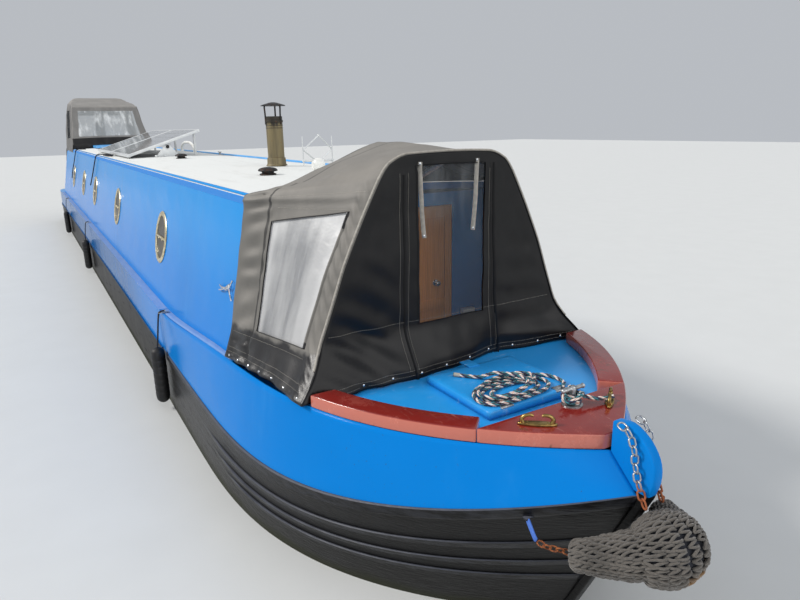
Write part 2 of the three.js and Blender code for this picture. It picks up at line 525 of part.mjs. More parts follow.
// Bulkheads and doors
const FRONT_DOOR = { low: WATERLINE + 250, high: WATERLINE + 1640, from: -100, to: 500, thick: 35 };
const bulkheadOutline = (low, inset) => [
  [-SIDE_FOOT + SIDE_THICK + inset, low], [SIDE_FOOT - SIDE_THICK - inset, low],
  [SIDE_FOOT - SIDE_THICK - inset, GUNWALE + 2], [leanAt(SIDE_TOP) - SIDE_THICK - inset, SIDE_TOP - 3],
  [-leanAt(SIDE_TOP) + SIDE_THICK + inset, SIDE_TOP - 3], [-SIDE_FOOT + SIDE_THICK + inset, GUNWALE + 2]];
add('front_bulkhead', 'blue', cut(
  prism('section', bulkheadOutline(CABIN_FLOOR + GAP, 12), CABIN_FRONT - 40, CABIN_FRONT),
  box(CABIN_FRONT - 60, CABIN_FRONT + 20, FRONT_DOOR.from, FRONT_DOOR.to, FRONT_DOOR.low, FRONT_DOOR.high),
));
// A door leaf with its knob, which stands out of the leaf by the way given
function leaf(x0, x1, y0, y1, z0, z1, [knobX, knobY, knobZ], out) {
  return join(
    box(x0, x1, y0, y1, z0, z1),
    rod([knobX - out * 20, knobY, knobZ], [knobX + out * 18, knobY, knobZ], 8, 10),
    ball(knobX + out * 24, knobY, knobZ, 17, 12),
  );
}
const DOOR_PLAY = 4;
const frontMid = (FRONT_DOOR.from + FRONT_DOOR.to) / 2;
const FRONT_LEAVES = [ // from, to and knob across the boat
  ['port', frontMid + DOOR_PLAY / 2, FRONT_DOOR.to - DOOR_PLAY, 370],
  ['starboard', FRONT_DOOR.from + DOOR_PLAY, frontMid - DOOR_PLAY / 2, 30]];
for (const [side, y0, y1, knob] of FRONT_LEAVES) {
  add(`front_door_${side}`, 'wood', leaf(
    CABIN_FRONT - FRONT_DOOR.thick, CABIN_FRONT, y0, y1, FRONT_DOOR.low + DOOR_PLAY, FRONT_DOOR.high - DOOR_PLAY,
    [CABIN_FRONT, knob, WATERLINE + 1150], 1));
}
const REAR_DOOR = { low: DECK_REAR + 60, high: WATERLINE + 1640, half: 330, thick: 35 };
add('rear_bulkhead', 'blue', cut(
  prism('section', bulkheadOutline(CABIN_FLOOR + GAP, 12), REAR_BULKHEAD, REAR_BULKHEAD + 40),
  box(REAR_BULKHEAD - 20, REAR_BULKHEAD + 60, -REAR_DOOR.half, REAR_DOOR.half, REAR_DOOR.low, REAR_DOOR.high),
));
for (const [side, sign] of SIDES) {
  add(`rear_door_${side}`, 'wood', onSide(leaf(
    REAR_BULKHEAD, REAR_BULKHEAD + REAR_DOOR.thick, DOOR_PLAY / 2, REAR_DOOR.half - DOOR_PLAY,
    REAR_DOOR.low + DOOR_PLAY, REAR_DOOR.high - DOOR_PLAY, [REAR_BULKHEAD, 50, DECK_REAR + 700], -1), sign));
}
// Sliding hatch over the rear doors: an arched tray that rides above the roof
const hatchLift = 14;
const hatchHalf = HATCH.half + 45;
const hatchArc = (lift) => span(-1, 1, 8).map((t) => [hatchHalf * t, roofZ(hatchHalf * t) + lift]);
const hatchInside = [
  [-HATCH.half - 25, ROOF_EDGE - 50], [HATCH.half + 25, ROOF_EDGE - 50],
  ...hatchArc(hatchLift + 35).filter(([y]) => Math.abs(y) < HATCH.half).reverse()];
add('rear_hatch', 'light', cut(
  prism('section', [...hatchArc(hatchLift + 45).reverse(), ...hatchArc(hatchLift)], REAR_BULKHEAD - 30,
    HATCH.front + 40),
  prism('section', hatchInside, REAR_BULKHEAD - 20, HATCH.front + 30),
));
const FLOOR_HALF = 850;
const bearers = span(REAR_BULKHEAD - 200, CABIN_FRONT + 100, 6)
  .map((x) => box(x - 25, x + 25, -FLOOR_HALF, FLOOR_HALF, PLATE + GAP, CABIN_FLOOR - 15));
add('cabin_floor', 'wood', join(
  box(REAR_BULKHEAD - 300, CABIN_FRONT + 200, -FLOOR_HALF, FLOOR_HALF, CABIN_FLOOR - 20, CABIN_FLOOR),
  ...bearers,
));

// Aft cockpit, with the engine under its lifting board
const BOARD = { aft: CABIN_REAR + 160, front: REAR_BULKHEAD - 350, half: 380 };
const INSIDE = HALF_BEAM - PLATE - 3;
add('cockpit_deck', 'steel', cut(
  join(
    box(CABIN_REAR + 5, REAR_BULKHEAD - GAP, -INSIDE, INSIDE, DECK_REAR - 20, DECK_REAR),
    box(CABIN_REAR + GAP, CABIN_REAR + 12, -INSIDE, INSIDE, UXTER + 4, GUNWALE - PLATE - 2),
  ),
  box(BOARD.aft, BOARD.front, -BOARD.half, BOARD.half, DECK_REAR - 60, DECK_REAR + 60),
));
const boardHalf = BOARD.half - 6;
add('engine_board', 'wood', box(BOARD.aft + 6, BOARD.front - 6, -boardHalf, boardHalf, DECK_REAR - 20, DECK_REAR));
add('engine', 'engine', box(-6900, -5950, -270, 270, 120, 800));

// Cratch: the covered well deck
const COVER = { thick: 10, rear: CABIN_FRONT - 40 };
// Section of the cover at its front panel, half-width and height above the waterline
const COVER_FRONT_ROWS = [
  [862, 920], [763, 1060], [663, 1300], [586, 1500], [490, 1700], [393, 1880], [340, 1950], [250, 1988], [0, 1995]];
// The same points where it lies on the cabin
const COVER_REAR_ROWS = [
  [985, 920], [945, 1060], [898, 1300], [858, 1500], [820, 1700], [800, 1786], [600, 1817], [330, 1915], [0, 2030]];
const fullRow = (rows) => [...rows.map(([y, z]) => [y, z]), ...[...rows].reverse().slice(1).map(([y, z]) => [-y, z])];
function coverRing(t, inset) {
  const front = fullRow(COVER_FRONT_ROWS);
  const rear = fullRow(COVER_REAR_ROWS);
  const bulge = 15 * Math.sin(Math.PI * t);
  return front.map(([y, z], i) => {
    const w = mix(y, rear[i][0], t);
    const h = mix(z, rear[i][1], t) + (z > 1900 ? bulge : 0);
    return [mix(COVER_FRONT, COVER.rear, t), w - Math.sign(w) * inset, WATERLINE + h - (z > 1900 ? inset : 0)];
  });
}
const COVER_STEPS = [0, 0.15, 0.35, 0.6, 0.85, 1];
const coverShell = wall(
  COVER_STEPS.map((t) => coverRing(t, 0)),
  COVER_STEPS.map((t) => coverRing(t, COVER.thick)),
);
const frontOutline = fullRow(COVER_FRONT_ROWS).map(([y, z]) => [y, WATERLINE + z]);
const coverFront = prism('section', frontOutline, COVER_FRONT - COVER.thick, COVER_FRONT);
// Flap that closes its rear end down to the roof
const coverFlap = prism('section', [
  ...fullRow(COVER_REAR_ROWS.slice(5)).map(([y, z]) => [y - Math.sign(y) * 5, WATERLINE + z - 3]),
  ...span(-768, 768, 8).map((y) => [y, roofZ(y) + 3])], COVER.rear, COVER.rear + COVER.thick);
add('cratch_cover', 'cover', join(coverShell, coverFront, coverFlap));
const hoopRows = fullRow(COVER_FRONT_ROWS).map(([y, z]) => [CABIN_FRONT + 640, y * 0.9, WATERLINE + z - 45]);
add('cratch_frame', 'steel', join(
  tube(hoopRows, 13, 20, 8),
  rod([CABIN_FRONT + 12, 0, WATERLINE + 1704], [CABIN_FRONT + 640, 0, WATERLINE + 1950], 14, 10),
));

// Hood over the aft cockpit
const HOOD = { front: REAR_BULKHEAD - 45, rear: CABIN_REAR - 40, low: ROOF_EDGE + 70, thick: 10 };
const hoodProfile = (inset) => [
  [HOOD.rear + inset, SIDE_TOP + GAP - (inset ? 50 : 0)], [HOOD.front - inset, SIDE_TOP + GAP - (inset ? 50 : 0)],
  [HOOD.front - inset, HOOD.low + 40], [HOOD.front - 420 - inset, WATERLINE + 2660 - inset],
  [HOOD.rear + 180, WATERLINE + 2880 - inset], [HOOD.rear + inset, WATERLINE + 2800 - inset]];
const hoodSection = (inset) => {
  const half = [[795, 1700], [790, 1800], [700, 2500], [640, 2740], [520, 2860], [300, 2895], [0, 2900]];
  return fullRow(half).map(([y, z]) => [y - Math.sign(y) * inset, WATERLINE + z - (z > 2800 ? inset : 0)]);
};
const hoodSolid = (inset) => common(prism('profile', hoodProfile(inset), -900, 900),
  prism('section', hoodSection(inset), HOOD.rear - 100, HOOD.front + 100));
const curtainTop = leanAt(SIDE_TOP) + 10;
const rearCurtain = prism('section', [
  [-930, GUNWALE + 8], [930, GUNWALE + 8], [curtainTop, ROOF_EDGE + 20], [-curtainTop, ROOF_EDGE + 20],
], HOOD.rear, HOOD.rear + HOOD.thick);
add('hood', 'cover', join(cut(hoodSolid(0), hoodSolid(HOOD.thick)), rearCurtain));

// Roof gear
const PANEL = { length: 1650, low: [-585, 28], high: [350, 331], thick: 35 };
const PANELS = [['front', -5600], ['rear', -7310]];
for (const [name, x] of PANELS) {
  const tilt = Math.atan2(PANEL.high[1] - PANEL.low[1], PANEL.high[0] - PANEL.low[0]);
  const width = Math.hypot(PANEL.high[1] - PANEL.low[1], PANEL.high[0] - PANEL.low[0]);
  const start = CABIN_FRONT + x;
  const slab = box(start - PANEL.length, start, 0, width, 0, PANEL.thick).rotateX(tilt)
    .translate(0, PANEL.low[0], ROOF_EDGE + PANEL.low[1]);
  const under = (y) => ROOF_EDGE + PANEL.low[1] + (y - PANEL.low[0]) * Math.tan(tilt);
  const legs = [start - 200, start - PANEL.length + 200].flatMap((px) => [-545, 310].map((y) => (
    box(px - 20, px + 20, y - 15, y + 15, roofZ(Math.abs(y) - 15) + 2, under(y) + 12))));
  add(`solar_panel_${name}`, 'cell', join(slab, ...legs));
}
const CHIMNEY = { x: CABIN_FRONT - 2360, y: 222 };
const chimneyBase = roofZ(CHIMNEY.y) + 5;
add('chimney', 'khaki', join(
  turned([
    [0, 0], [95, 0], [95, 8], [86, 14], [82, 70], [74, 72], [74, 380], [79, 382], [79, 396], [74, 398],
    [74, 430], [62, 430], [62, 120], [0, 120]], CHIMNEY.x, CHIMNEY.y, chimneyBase, 16),
  turned([[0, 518], [108, 518], [108, 525], [40, 547], [0, 550]], CHIMNEY.x, CHIMNEY.y, chimneyBase, 16),
  ...[0, 1, 2].map((i) => {
    const a = (2 * Math.PI * i) / 3;
    const at = (r, z) => [CHIMNEY.x + r * Math.cos(a), CHIMNEY.y + r * Math.sin(a), chimneyBase + z];
    return rod(at(68, 400), at(68, 522), 5, 6);
  }),
));
const VENTS = [['front', -1335, -222], ['rear', -4790, -100]];
for (const [name, x, y] of VENTS) {
  add(`mushroom_vent_${name}`, 'steel', turned(
    [[0, 0], [62, 0], [62, 8], [45, 11], [45, 24], [72, 29], [66, 42], [40, 52], [0, 56]],
    CABIN_FRONT + x, y, roofZ(y) + 2,
  ));
}
const AERIAL = { x: CABIN_FRONT - 1600, y: 300 };
const onAerial = (dy, up) => [AERIAL.x, AERIAL.y + dy, ROOF_EDGE + up];
add('aerial', 'white', join(
  turned([[0, 0], [50, 0], [56, 10], [56, 60], [40, 84], [0, 92]], AERIAL.x, AERIAL.y, roofZ(AERIAL.y) + 3, 16),
  ...[-130, 130].map((dy) => rod(onAerial(dy, 60), onAerial(dy, 290), 5, 6)),
  rod(onAerial(-134, 95), onAerial(134, 95), 6, 6),
));
const ARCH = { y: 690, front: CABIN_FRONT - 7480, rear: CABIN_FRONT - 8390, top: 150, shoulder: 95 };
const archAt = (x, up) => [x, ARCH.y, ROOF_EDGE + up];
const archFoot = roofZ(ARCH.y) + 4 - ROOF_EDGE;
add('roof_arch', 'white', tube([
  archAt(ARCH.front, archFoot), archAt(ARCH.front, archFoot + 30), archAt(ARCH.front - 60, ARCH.shoulder),
  archAt(ARCH.front - 260, ARCH.top), archAt(ARCH.rear + 260, ARCH.top), archAt(ARCH.rear + 60, ARCH.shoulder),
  archAt(ARCH.rear, archFoot + 30), archAt(ARCH.rear, archFoot)], 22, 28));

// Side fenders on short ropes
const SIDE_FENDERS = [-1650, -7500, -11750];
const SIDE_FENDER = { radius: 52, foot: WATERLINE + 60, y: HALF_BEAM + STRAKE_PROUD + 4 + 52 };
const sideFender = (x) => {
  const deck = sheer(x);
  const body = [
    [0, 0], [30, 6], [50, 30], [SIDE_FENDER.radius, 60], [SIDE_FENDER.radius, 390], [50, 420], [30, 445], [0, 450]];
  return join(
    turned(body, x, SIDE_FENDER.y, SIDE_FENDER.foot, 14),
    rod([x, SIDE_FENDER.y, SIDE_FENDER.foot + 440], [x, SIDE_FENDER.y - 45, deck + 20], 7, 6),
    box(x - 15, x + 15, SIDE_FOOT + 12, SIDE_FENDER.y - 38, deck + 5, deck + 28),
  );
};
for (const [side, sign] of SIDES) {
  SIDE_FENDERS.forEach((x, i) => {
    add(`side_fender_${side}_${i + 1}`, 'rubber', onSide(sideFender(CABIN_FRONT + x), sign));
  });
}

const boat = new THREE.Group();
for (const mesh of Object.values(parts)) boat.add(mesh);
export default boat;
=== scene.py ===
"""A steel narrowboat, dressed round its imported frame.

Laid out as an add-on: sizes and colours are properties, each group of pieces has an operator, and main() runs
them in order. Metres, +X to the bow, +Y to port, +Z up, the origin under the flat base plate.
"""

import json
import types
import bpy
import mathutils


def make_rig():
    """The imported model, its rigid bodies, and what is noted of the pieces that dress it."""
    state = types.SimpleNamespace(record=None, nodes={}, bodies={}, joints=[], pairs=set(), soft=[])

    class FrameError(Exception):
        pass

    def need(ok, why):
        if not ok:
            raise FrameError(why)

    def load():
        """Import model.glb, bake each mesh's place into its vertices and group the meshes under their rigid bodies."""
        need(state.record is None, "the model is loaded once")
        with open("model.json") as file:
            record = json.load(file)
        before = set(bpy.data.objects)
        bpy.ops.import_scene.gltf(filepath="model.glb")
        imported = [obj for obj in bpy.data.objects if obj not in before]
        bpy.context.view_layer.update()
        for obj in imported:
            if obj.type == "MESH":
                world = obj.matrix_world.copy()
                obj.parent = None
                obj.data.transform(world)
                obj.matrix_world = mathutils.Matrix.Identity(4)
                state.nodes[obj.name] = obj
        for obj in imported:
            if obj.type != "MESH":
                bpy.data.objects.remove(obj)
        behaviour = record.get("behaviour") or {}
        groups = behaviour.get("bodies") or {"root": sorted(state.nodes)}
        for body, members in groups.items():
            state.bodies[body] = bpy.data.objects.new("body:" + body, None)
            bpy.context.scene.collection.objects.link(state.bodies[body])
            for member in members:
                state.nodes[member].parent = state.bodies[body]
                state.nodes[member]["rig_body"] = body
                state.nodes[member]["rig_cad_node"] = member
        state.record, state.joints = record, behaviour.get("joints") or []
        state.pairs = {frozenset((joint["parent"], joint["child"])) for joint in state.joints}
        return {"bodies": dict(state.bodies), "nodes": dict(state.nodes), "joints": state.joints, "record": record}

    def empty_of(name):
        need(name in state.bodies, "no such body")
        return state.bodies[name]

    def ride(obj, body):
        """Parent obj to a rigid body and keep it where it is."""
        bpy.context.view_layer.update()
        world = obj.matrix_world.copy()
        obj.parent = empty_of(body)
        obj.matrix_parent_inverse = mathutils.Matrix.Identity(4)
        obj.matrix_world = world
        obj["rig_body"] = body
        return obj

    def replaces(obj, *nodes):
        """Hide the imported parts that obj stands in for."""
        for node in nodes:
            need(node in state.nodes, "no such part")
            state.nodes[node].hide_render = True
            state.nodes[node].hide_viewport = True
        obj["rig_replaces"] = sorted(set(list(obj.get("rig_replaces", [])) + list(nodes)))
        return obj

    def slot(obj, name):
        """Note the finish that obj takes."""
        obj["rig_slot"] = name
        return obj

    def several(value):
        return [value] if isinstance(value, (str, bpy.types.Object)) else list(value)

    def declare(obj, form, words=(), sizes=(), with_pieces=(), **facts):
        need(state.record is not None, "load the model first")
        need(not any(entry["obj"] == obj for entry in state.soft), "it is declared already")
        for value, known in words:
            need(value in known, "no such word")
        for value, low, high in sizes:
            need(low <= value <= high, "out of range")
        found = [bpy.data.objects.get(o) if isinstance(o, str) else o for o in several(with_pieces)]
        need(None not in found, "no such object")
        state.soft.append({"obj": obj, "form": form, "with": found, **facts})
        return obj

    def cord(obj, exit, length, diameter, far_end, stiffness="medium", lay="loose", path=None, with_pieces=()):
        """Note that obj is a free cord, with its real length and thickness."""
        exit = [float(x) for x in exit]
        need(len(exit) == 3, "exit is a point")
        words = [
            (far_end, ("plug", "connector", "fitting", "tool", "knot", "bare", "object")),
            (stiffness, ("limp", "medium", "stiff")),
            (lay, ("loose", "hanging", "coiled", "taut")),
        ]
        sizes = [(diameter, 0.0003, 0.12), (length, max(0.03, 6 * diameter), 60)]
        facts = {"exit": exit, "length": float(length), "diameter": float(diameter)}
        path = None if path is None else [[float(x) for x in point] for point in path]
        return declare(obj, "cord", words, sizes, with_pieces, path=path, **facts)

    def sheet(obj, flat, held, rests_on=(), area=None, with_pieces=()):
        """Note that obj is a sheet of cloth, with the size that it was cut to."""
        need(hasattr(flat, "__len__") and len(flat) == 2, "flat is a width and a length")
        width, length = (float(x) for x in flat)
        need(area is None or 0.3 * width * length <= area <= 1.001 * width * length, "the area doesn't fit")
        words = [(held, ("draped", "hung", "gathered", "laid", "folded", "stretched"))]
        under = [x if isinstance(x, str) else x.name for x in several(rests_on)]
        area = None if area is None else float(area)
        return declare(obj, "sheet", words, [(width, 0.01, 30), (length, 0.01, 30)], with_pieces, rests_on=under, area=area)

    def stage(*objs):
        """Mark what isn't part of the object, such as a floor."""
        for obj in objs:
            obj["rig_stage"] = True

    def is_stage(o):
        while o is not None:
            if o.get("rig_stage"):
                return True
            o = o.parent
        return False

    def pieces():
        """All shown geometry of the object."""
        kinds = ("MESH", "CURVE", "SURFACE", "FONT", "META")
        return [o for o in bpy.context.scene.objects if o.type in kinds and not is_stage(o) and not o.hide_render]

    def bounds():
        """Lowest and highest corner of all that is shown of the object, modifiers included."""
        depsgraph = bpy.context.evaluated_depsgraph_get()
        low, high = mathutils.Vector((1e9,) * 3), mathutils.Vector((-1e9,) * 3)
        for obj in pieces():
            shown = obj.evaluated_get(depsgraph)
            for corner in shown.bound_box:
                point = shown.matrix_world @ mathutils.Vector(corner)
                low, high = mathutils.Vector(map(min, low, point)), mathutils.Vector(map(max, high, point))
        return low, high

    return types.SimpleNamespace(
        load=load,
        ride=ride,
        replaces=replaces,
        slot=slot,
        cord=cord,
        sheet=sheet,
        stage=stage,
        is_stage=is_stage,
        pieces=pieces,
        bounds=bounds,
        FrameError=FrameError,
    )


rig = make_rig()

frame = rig.load()

import json
import math

import bmesh
import bpy
from mathutils import Matrix, Vector, noise

bl_info = {
    "name": "Narrowboat",
    "version": (1, 0, 0),
    "blender": (4, 5, 0),
    "location": "View3D > Sidebar > Narrowboat",
    "description": "Dresses the narrowboat's frame: hull, covers, fenders, ropes and roof gear",
    "category": "Object",
}

CAD_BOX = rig.bounds()

# Places on the boat
WATERLINE = 0.55
GUNWALE = 1.317
STRAKE_TOP = 1.005
CABIN_FRONT = 6.55
BOW_START = 4.75
CABIN_REAR = -7.15
REAR_BULKHEAD = -5.35
ROOF_EDGE = 2.312
SIDE_FOOT = 0.966
SIDE_HEAD = 0.772
CAMBER = 0.025
HALF_BEAM = 1.03
DECK_Z = 1.462
PLATE_TOP = 1.5263
STEM_HALF = 0.0375
SIDES = (("port", 1), ("starboard", -1))
TURN = 2 * math.pi
PAINT_LINE = 1.352  # blue above, black below, on the stem


def clamp01(value):
    return min(1.0, max(0.0, value))


def ease(value):
    value = clamp01(value)
    return value * value * (3 - 2 * value)


def mix(a, b, share):
    return a + (b - a) * share


def linear(code):
    """A colour written as #rrggbb, in the linear values that a shader takes."""
    parts = [int(code[i:i + 2], 16) / 255 for i in (1, 3, 5)]
    return [p / 12.92 if p <= 0.04045 else ((p + 0.055) / 1.055) ** 2.4 for p in parts]


def lean_at(z):
    """Half-width of the cabin side at a height."""
    return SIDE_FOOT + (SIDE_HEAD - SIDE_FOOT) * (z - GUNWALE) / (ROOF_EDGE - GUNWALE)


def roof_z(y):
    return ROOF_EDGE + CAMBER * (1 - (y / SIDE_HEAD) ** 2)


# Bow form: each level runs from BOW_START to its stem
LEVELS = (
    {"z": 0.0123, "rise": 0, "stem": 1.28, "start": -1.2, "power": 3.2},
    {"z": WATERLINE, "rise": 0, "stem": 1.55, "start": -1.0, "power": 3.5},
    {"z": 0.98, "rise": 0.35, "stem": 1.915, "start": -0.8, "power": 3.8},
    {"z": None, "rise": 0, "stem": 1.77, "start": -1.2, "power": 4.7},
)
BOW_STRAKES = ((1.36, 0.025, 0.45), (1.5, 0.025, 0.4), (1.68, 0.03, 0.35), (2.0, 0.06, 0.0))
STRAKE_PROUD = 0.012


def sheer(x):
    return GUNWALE + 0.145 * ease((x - BOW_START + 0.1) / 2.2)


def level_point(level, u):
    stem = CABIN_FRONT + level["stem"]
    x = mix(BOW_START, stem, u)
    w = clamp01((x - CABIN_FRONT - level["start"]) / (level["stem"] - level["start"]))
    top = level["z"] is None
    lean = 0.04 * ease((x - BOW_START) / 1.9) if top else 0
    y = STEM_HALF + (HALF_BEAM - lean - STEM_HALF) * (1 - w ** level["power"])
    return Vector((x, y, sheer(x) if top else level["z"] + level["rise"] * u ** 4))


def bow_point(u, t, proud=0.0):
    low = min(2, int(t))
    point = level_point(LEVELS[low], u).lerp(level_point(LEVELS[low + 1], u), t - low)
    return point + Vector((0, proud, 0))


def top_half(x):
    stem = CABIN_FRONT + LEVELS[3]["stem"]
    return level_point(LEVELS[3], clamp01((x - BOW_START) / (stem - BOW_START))).y


# Materials
class Wire:
    """A socket of a finish. Arithmetic on it adds Math nodes."""

    def __init__(self, finish, socket):
        self.finish = finish
        self.socket = socket

    def math(self, operation, *others):
        return self.finish.node("ShaderNodeMath", {"operation": operation}, [self, *others])

    def __add__(self, other):
        return self.math("ADD", other)

    def __sub__(self, other):
        return self.math("SUBTRACT", other)

    def __mul__(self, other):
        return self.math("MULTIPLY", other)

    def __gt__(self, other):
        return self.math("GREATER_THAN", other)

    def __lt__(self, other):
        return self.math("LESS_THAN", other)

    def __rsub__(self, other):
        return self.finish.node("ShaderNodeMath", {"operation": "SUBTRACT"}, [other, self])

    __radd__ = __add__
    __rmul__ = __mul__


class Finish:
    """One procedural material."""

    def __init__(self, name):
        self.material = bpy.data.materials.new(name)
        self.material.use_nodes = True
        self.tree = self.material.node_tree
        self.tree.nodes.clear()

    def node(self, kind, settings=None, values=None, out=0):
        """Adds a node with its settings, then the values or links of its sockets.

        A value may be a colour as #rrggbb. Returns one output as a Wire, or all of them if out is None.
        """
        made = self.tree.nodes.new(kind)
        for key, value in (settings or {}).items():
            if key == "stops":
                ramp = made.color_ramp
                while len(ramp.elements) < len(value):
                    ramp.elements.new(1.0)
                for element, (place, colour) in zip(ramp.elements, value):
                    element.position = place
                    element.color = [*linear(colour), 1.0]
            elif key == "ramp":
                made.color_ramp.interpolation = value
            else:
                setattr(made, key, value)
        items = values.items() if isinstance(values, dict) else enumerate(values or [])
        for key, value in items:
            socket = made.inputs[key]
            if isinstance(value, str):
                value = linear(value)
            if isinstance(value, Wire):
                self.tree.links.new(value.socket, socket)
            elif socket.type == "RGBA" and len(value) == 3:
                socket.default_value = [*value, 1.0]
            else:
                socket.default_value = value
        if out is None:
            return [Wire(self, socket) for socket in made.outputs]
        return Wire(self, made.outputs[out])

    def place(self, scale=None):
        at = self.node("ShaderNodeTexCoord", out="Object")
        if scale is None:
            return at
        return self.node("ShaderNodeMapping", {}, {"Vector": at, "Scale": scale})

    def across(self):
        """The piece's own UV map."""
        return self.node("ShaderNodeTexCoord", out="UV")

    def split(self, vector):
        return self.node("ShaderNodeSeparateXYZ", {}, [vector], out=None)

    def facing(self):
        """The surface's own direction."""
        return self.split(self.node("ShaderNodeNewGeometry", out="Normal"))

    def clouds(self, at, scale, detail=4.0, roughness=0.55):
        values = {"Vector": at, "Scale": scale, "Detail": detail, "Roughness": roughness}
        return self.node("ShaderNodeTexNoise", {}, values)

    def ramp(self, value, low, high):
        """0 below low, 1 above high, smooth between; low may be the larger."""
        settings = {"interpolation_type": "SMOOTHSTEP"}
        return self.node("ShaderNodeMapRange", settings, {"Value": value, "From Min": low, "From Max": high})

    def blend(self, share, a, b):
        return self.node("ShaderNodeMix", {"data_type": "RGBA"}, {0: share, 6: a, 7: b}, out=2)

    def bump(self, height, strength):
        return self.node("ShaderNodeBump", {}, {"Height": height, "Distance": 1.0, "Strength": strength})

    def shade(self, tone, rough, **values):
        """The surface shader; its other sockets are named with _ for a space."""
        named = {key.replace("_", " "): value for key, value in values.items()}
        shader = self.node("ShaderNodeBsdfPrincipled", {}, {"Base Color": tone, "Roughness": rough, **named})
        self.node("ShaderNodeOutputMaterial", {}, {"Surface": shader}, out=None)
        return self.material


FINISHES = {}


def finish(name):
    """The finished material of that name, made when it is first asked for."""
    if name not in FINISHES:
        FINISHES[name] = MAKERS[name](Finish(name))
    return FINISHES[name]


def colours():
    return bpy.context.scene.narrowboat_colours


def gloss(f, colour, worn, low=0.12, grime=0.35, chips=0.5, dents=1.0):
    """Gloss coach paint on steel plate: faint dents, streaks of grime, small chips."""
    at = f.place()
    broad = f.clouds(at, 0.9, 3)
    streaks = f.clouds(f.place((9, 9, 0.8)), 1.0, 5, 0.6)
    dust = f.ramp(streaks * broad, 0.24, 0.46) * grime * 0.4
    fine = f.clouds(at, 34, 5, 0.65)
    chip = f.ramp(f.clouds(at, 95, 2), 0.70, 0.74) * f.ramp(f.clouds(at, 2.2, 3), 0.52, 0.62) * chips
    tone = f.blend(dust, colour, worn)
    tone = f.blend(f.ramp(broad, 0.35, 0.7) * 0.18, tone, [c * 0.62 for c in colour])
    tone = f.blend(chip, tone, "#4a3428")
    dent = f.clouds(f.place((1.1, 1.1, 1.6)), 1.6, 2) * (0.016 * dents) + fine * 0.0006
    return tone, fine * 0.1 + dust * 0.5 + chip * 0.4 + low, f.bump(dent, 0.55)


def make_blue(f):
    """Coach paint, lighter towards the top of the cabin side: a painted reflection of the sky."""
    tone, rough, normal = gloss(f, colours().topsides, colours().faded)
    z = f.split(f.place())[2]
    # painted reflection of the sky: the blue is lightened towards the top of the cabin side
    tone = f.blend(f.ramp(z, 1.5, 2.3) * 0.3, tone, "#3fb4f2")
    return f.shade(tone, rough, Normal=normal, Specular_IOR_Level=0.04)


def bitumen(f):
    """Brushed black bitumen with scuffs, dried weed and scum near the water."""
    at = f.place()
    z = f.split(at)[2]
    scuff = f.ramp(f.clouds(f.place((3, 3, 26)), 1.0, 6, 0.7), 0.56, 0.72)
    blotch = f.clouds(at, 5.5, 5, 0.6)
    tone = f.blend(scuff * 0.25, "#070708", "#2b2726")
    tone = f.blend(f.ramp(blotch, 0.56, 0.72) * 0.25, tone, "#1d1f23")
    rust = f.ramp(f.clouds(f.place((7, 7, 2)), 1.0, 6, 0.7), 0.66, 0.75) * 0.35
    tone = f.blend(rust, tone, "#43261a")
    wet = f.ramp(z + blotch * 0.06, WATERLINE + 0.12, WATERLINE + 0.03)
    tone = f.blend(wet * 0.6, tone, "#2d3019")
    height = f.clouds(f.place((5, 5, 30)), 3.0, 6, 0.6) * 0.004 + blotch * 0.004
    return tone, scuff * 0.2 + wet * 0.2 + 0.32, height


def make_hull_black(f):
    tone, rough, height = bitumen(f)
    return f.shade(tone, rough, Normal=f.bump(height, 0.8), Specular_IOR_Level=0.18)


def make_strake(f):
    """Strakes: black, with the upper edge rubbed to a thin grey line."""
    tone, rough, height = bitumen(f)
    patchy = f.ramp(f.clouds(f.place((6, 6, 30)), 1.4, 6, 0.7), 0.4, 0.6)
    rub = f.ramp(f.facing()[2], 0.15, 0.75) * 0.75 + patchy * 0.18
    tone = f.blend(rub, tone, "#4f525c")
    return f.shade(tone, rough + rub * 0.15, Normal=f.bump(height, 0.8),
                   Specular_IOR_Level=0.25)


def make_hull_side(f):
    """Blue above the top strake, black below; the blue is painted darker away from the bow, which is painted shade,
    and pale on the deck's edge, which is a painted highlight.
    """
    at = f.place()
    z = f.split(at)[2]
    # painted shade: the side's blue is painted darker away from the bow, for the dark water reflected in it
    shade = [c * 0.55 for c in colours().topsides]
    blue, rough_blue, normal = gloss(f, shade, colours().faded)
    blue = f.blend(f.ramp(f.split(at)[0], 2.5, 4.6), blue, colours().topsides)
    black, rough_black, _height = bitumen(f)
    # painted highlight: the deck's edge, which faces up, is painted pale
    up = f.ramp(f.facing()[2], 0.6, 0.9) * f.ramp(z, 1.25, 1.3)
    above = f.ramp(z, STRAKE_TOP - 0.002, STRAKE_TOP + 0.002)
    pale = f.blend(f.clouds(f.place((3, 9, 1)), 2.0, 5, 0.65), "#6f8fc4", "#bccbe0")
    tone = f.blend(up * 0.6, f.blend(above, black, blue), pale)
    rough = above * rough_blue + (1 - above) * rough_black + up * 0.25
    return f.shade(tone, rough, Normal=normal, Specular_IOR_Level=0.03)


def make_deck_blue(f):
    tone, rough, normal = gloss(f, colours().deck, colours().faded, 0.25, 0.5, 0.8, 0.5)
    scuff = f.ramp(f.clouds(f.place((26, 8, 8)), 1.0, 6, 0.7), 0.6, 0.7) * 0.35
    tone = f.blend(scuff, tone, "#b9d3ea")
    return f.shade(tone, rough, Normal=normal, Specular_IOR_Level=0.35, Coat_Weight=0.1,
                   Coat_Roughness=0.08)


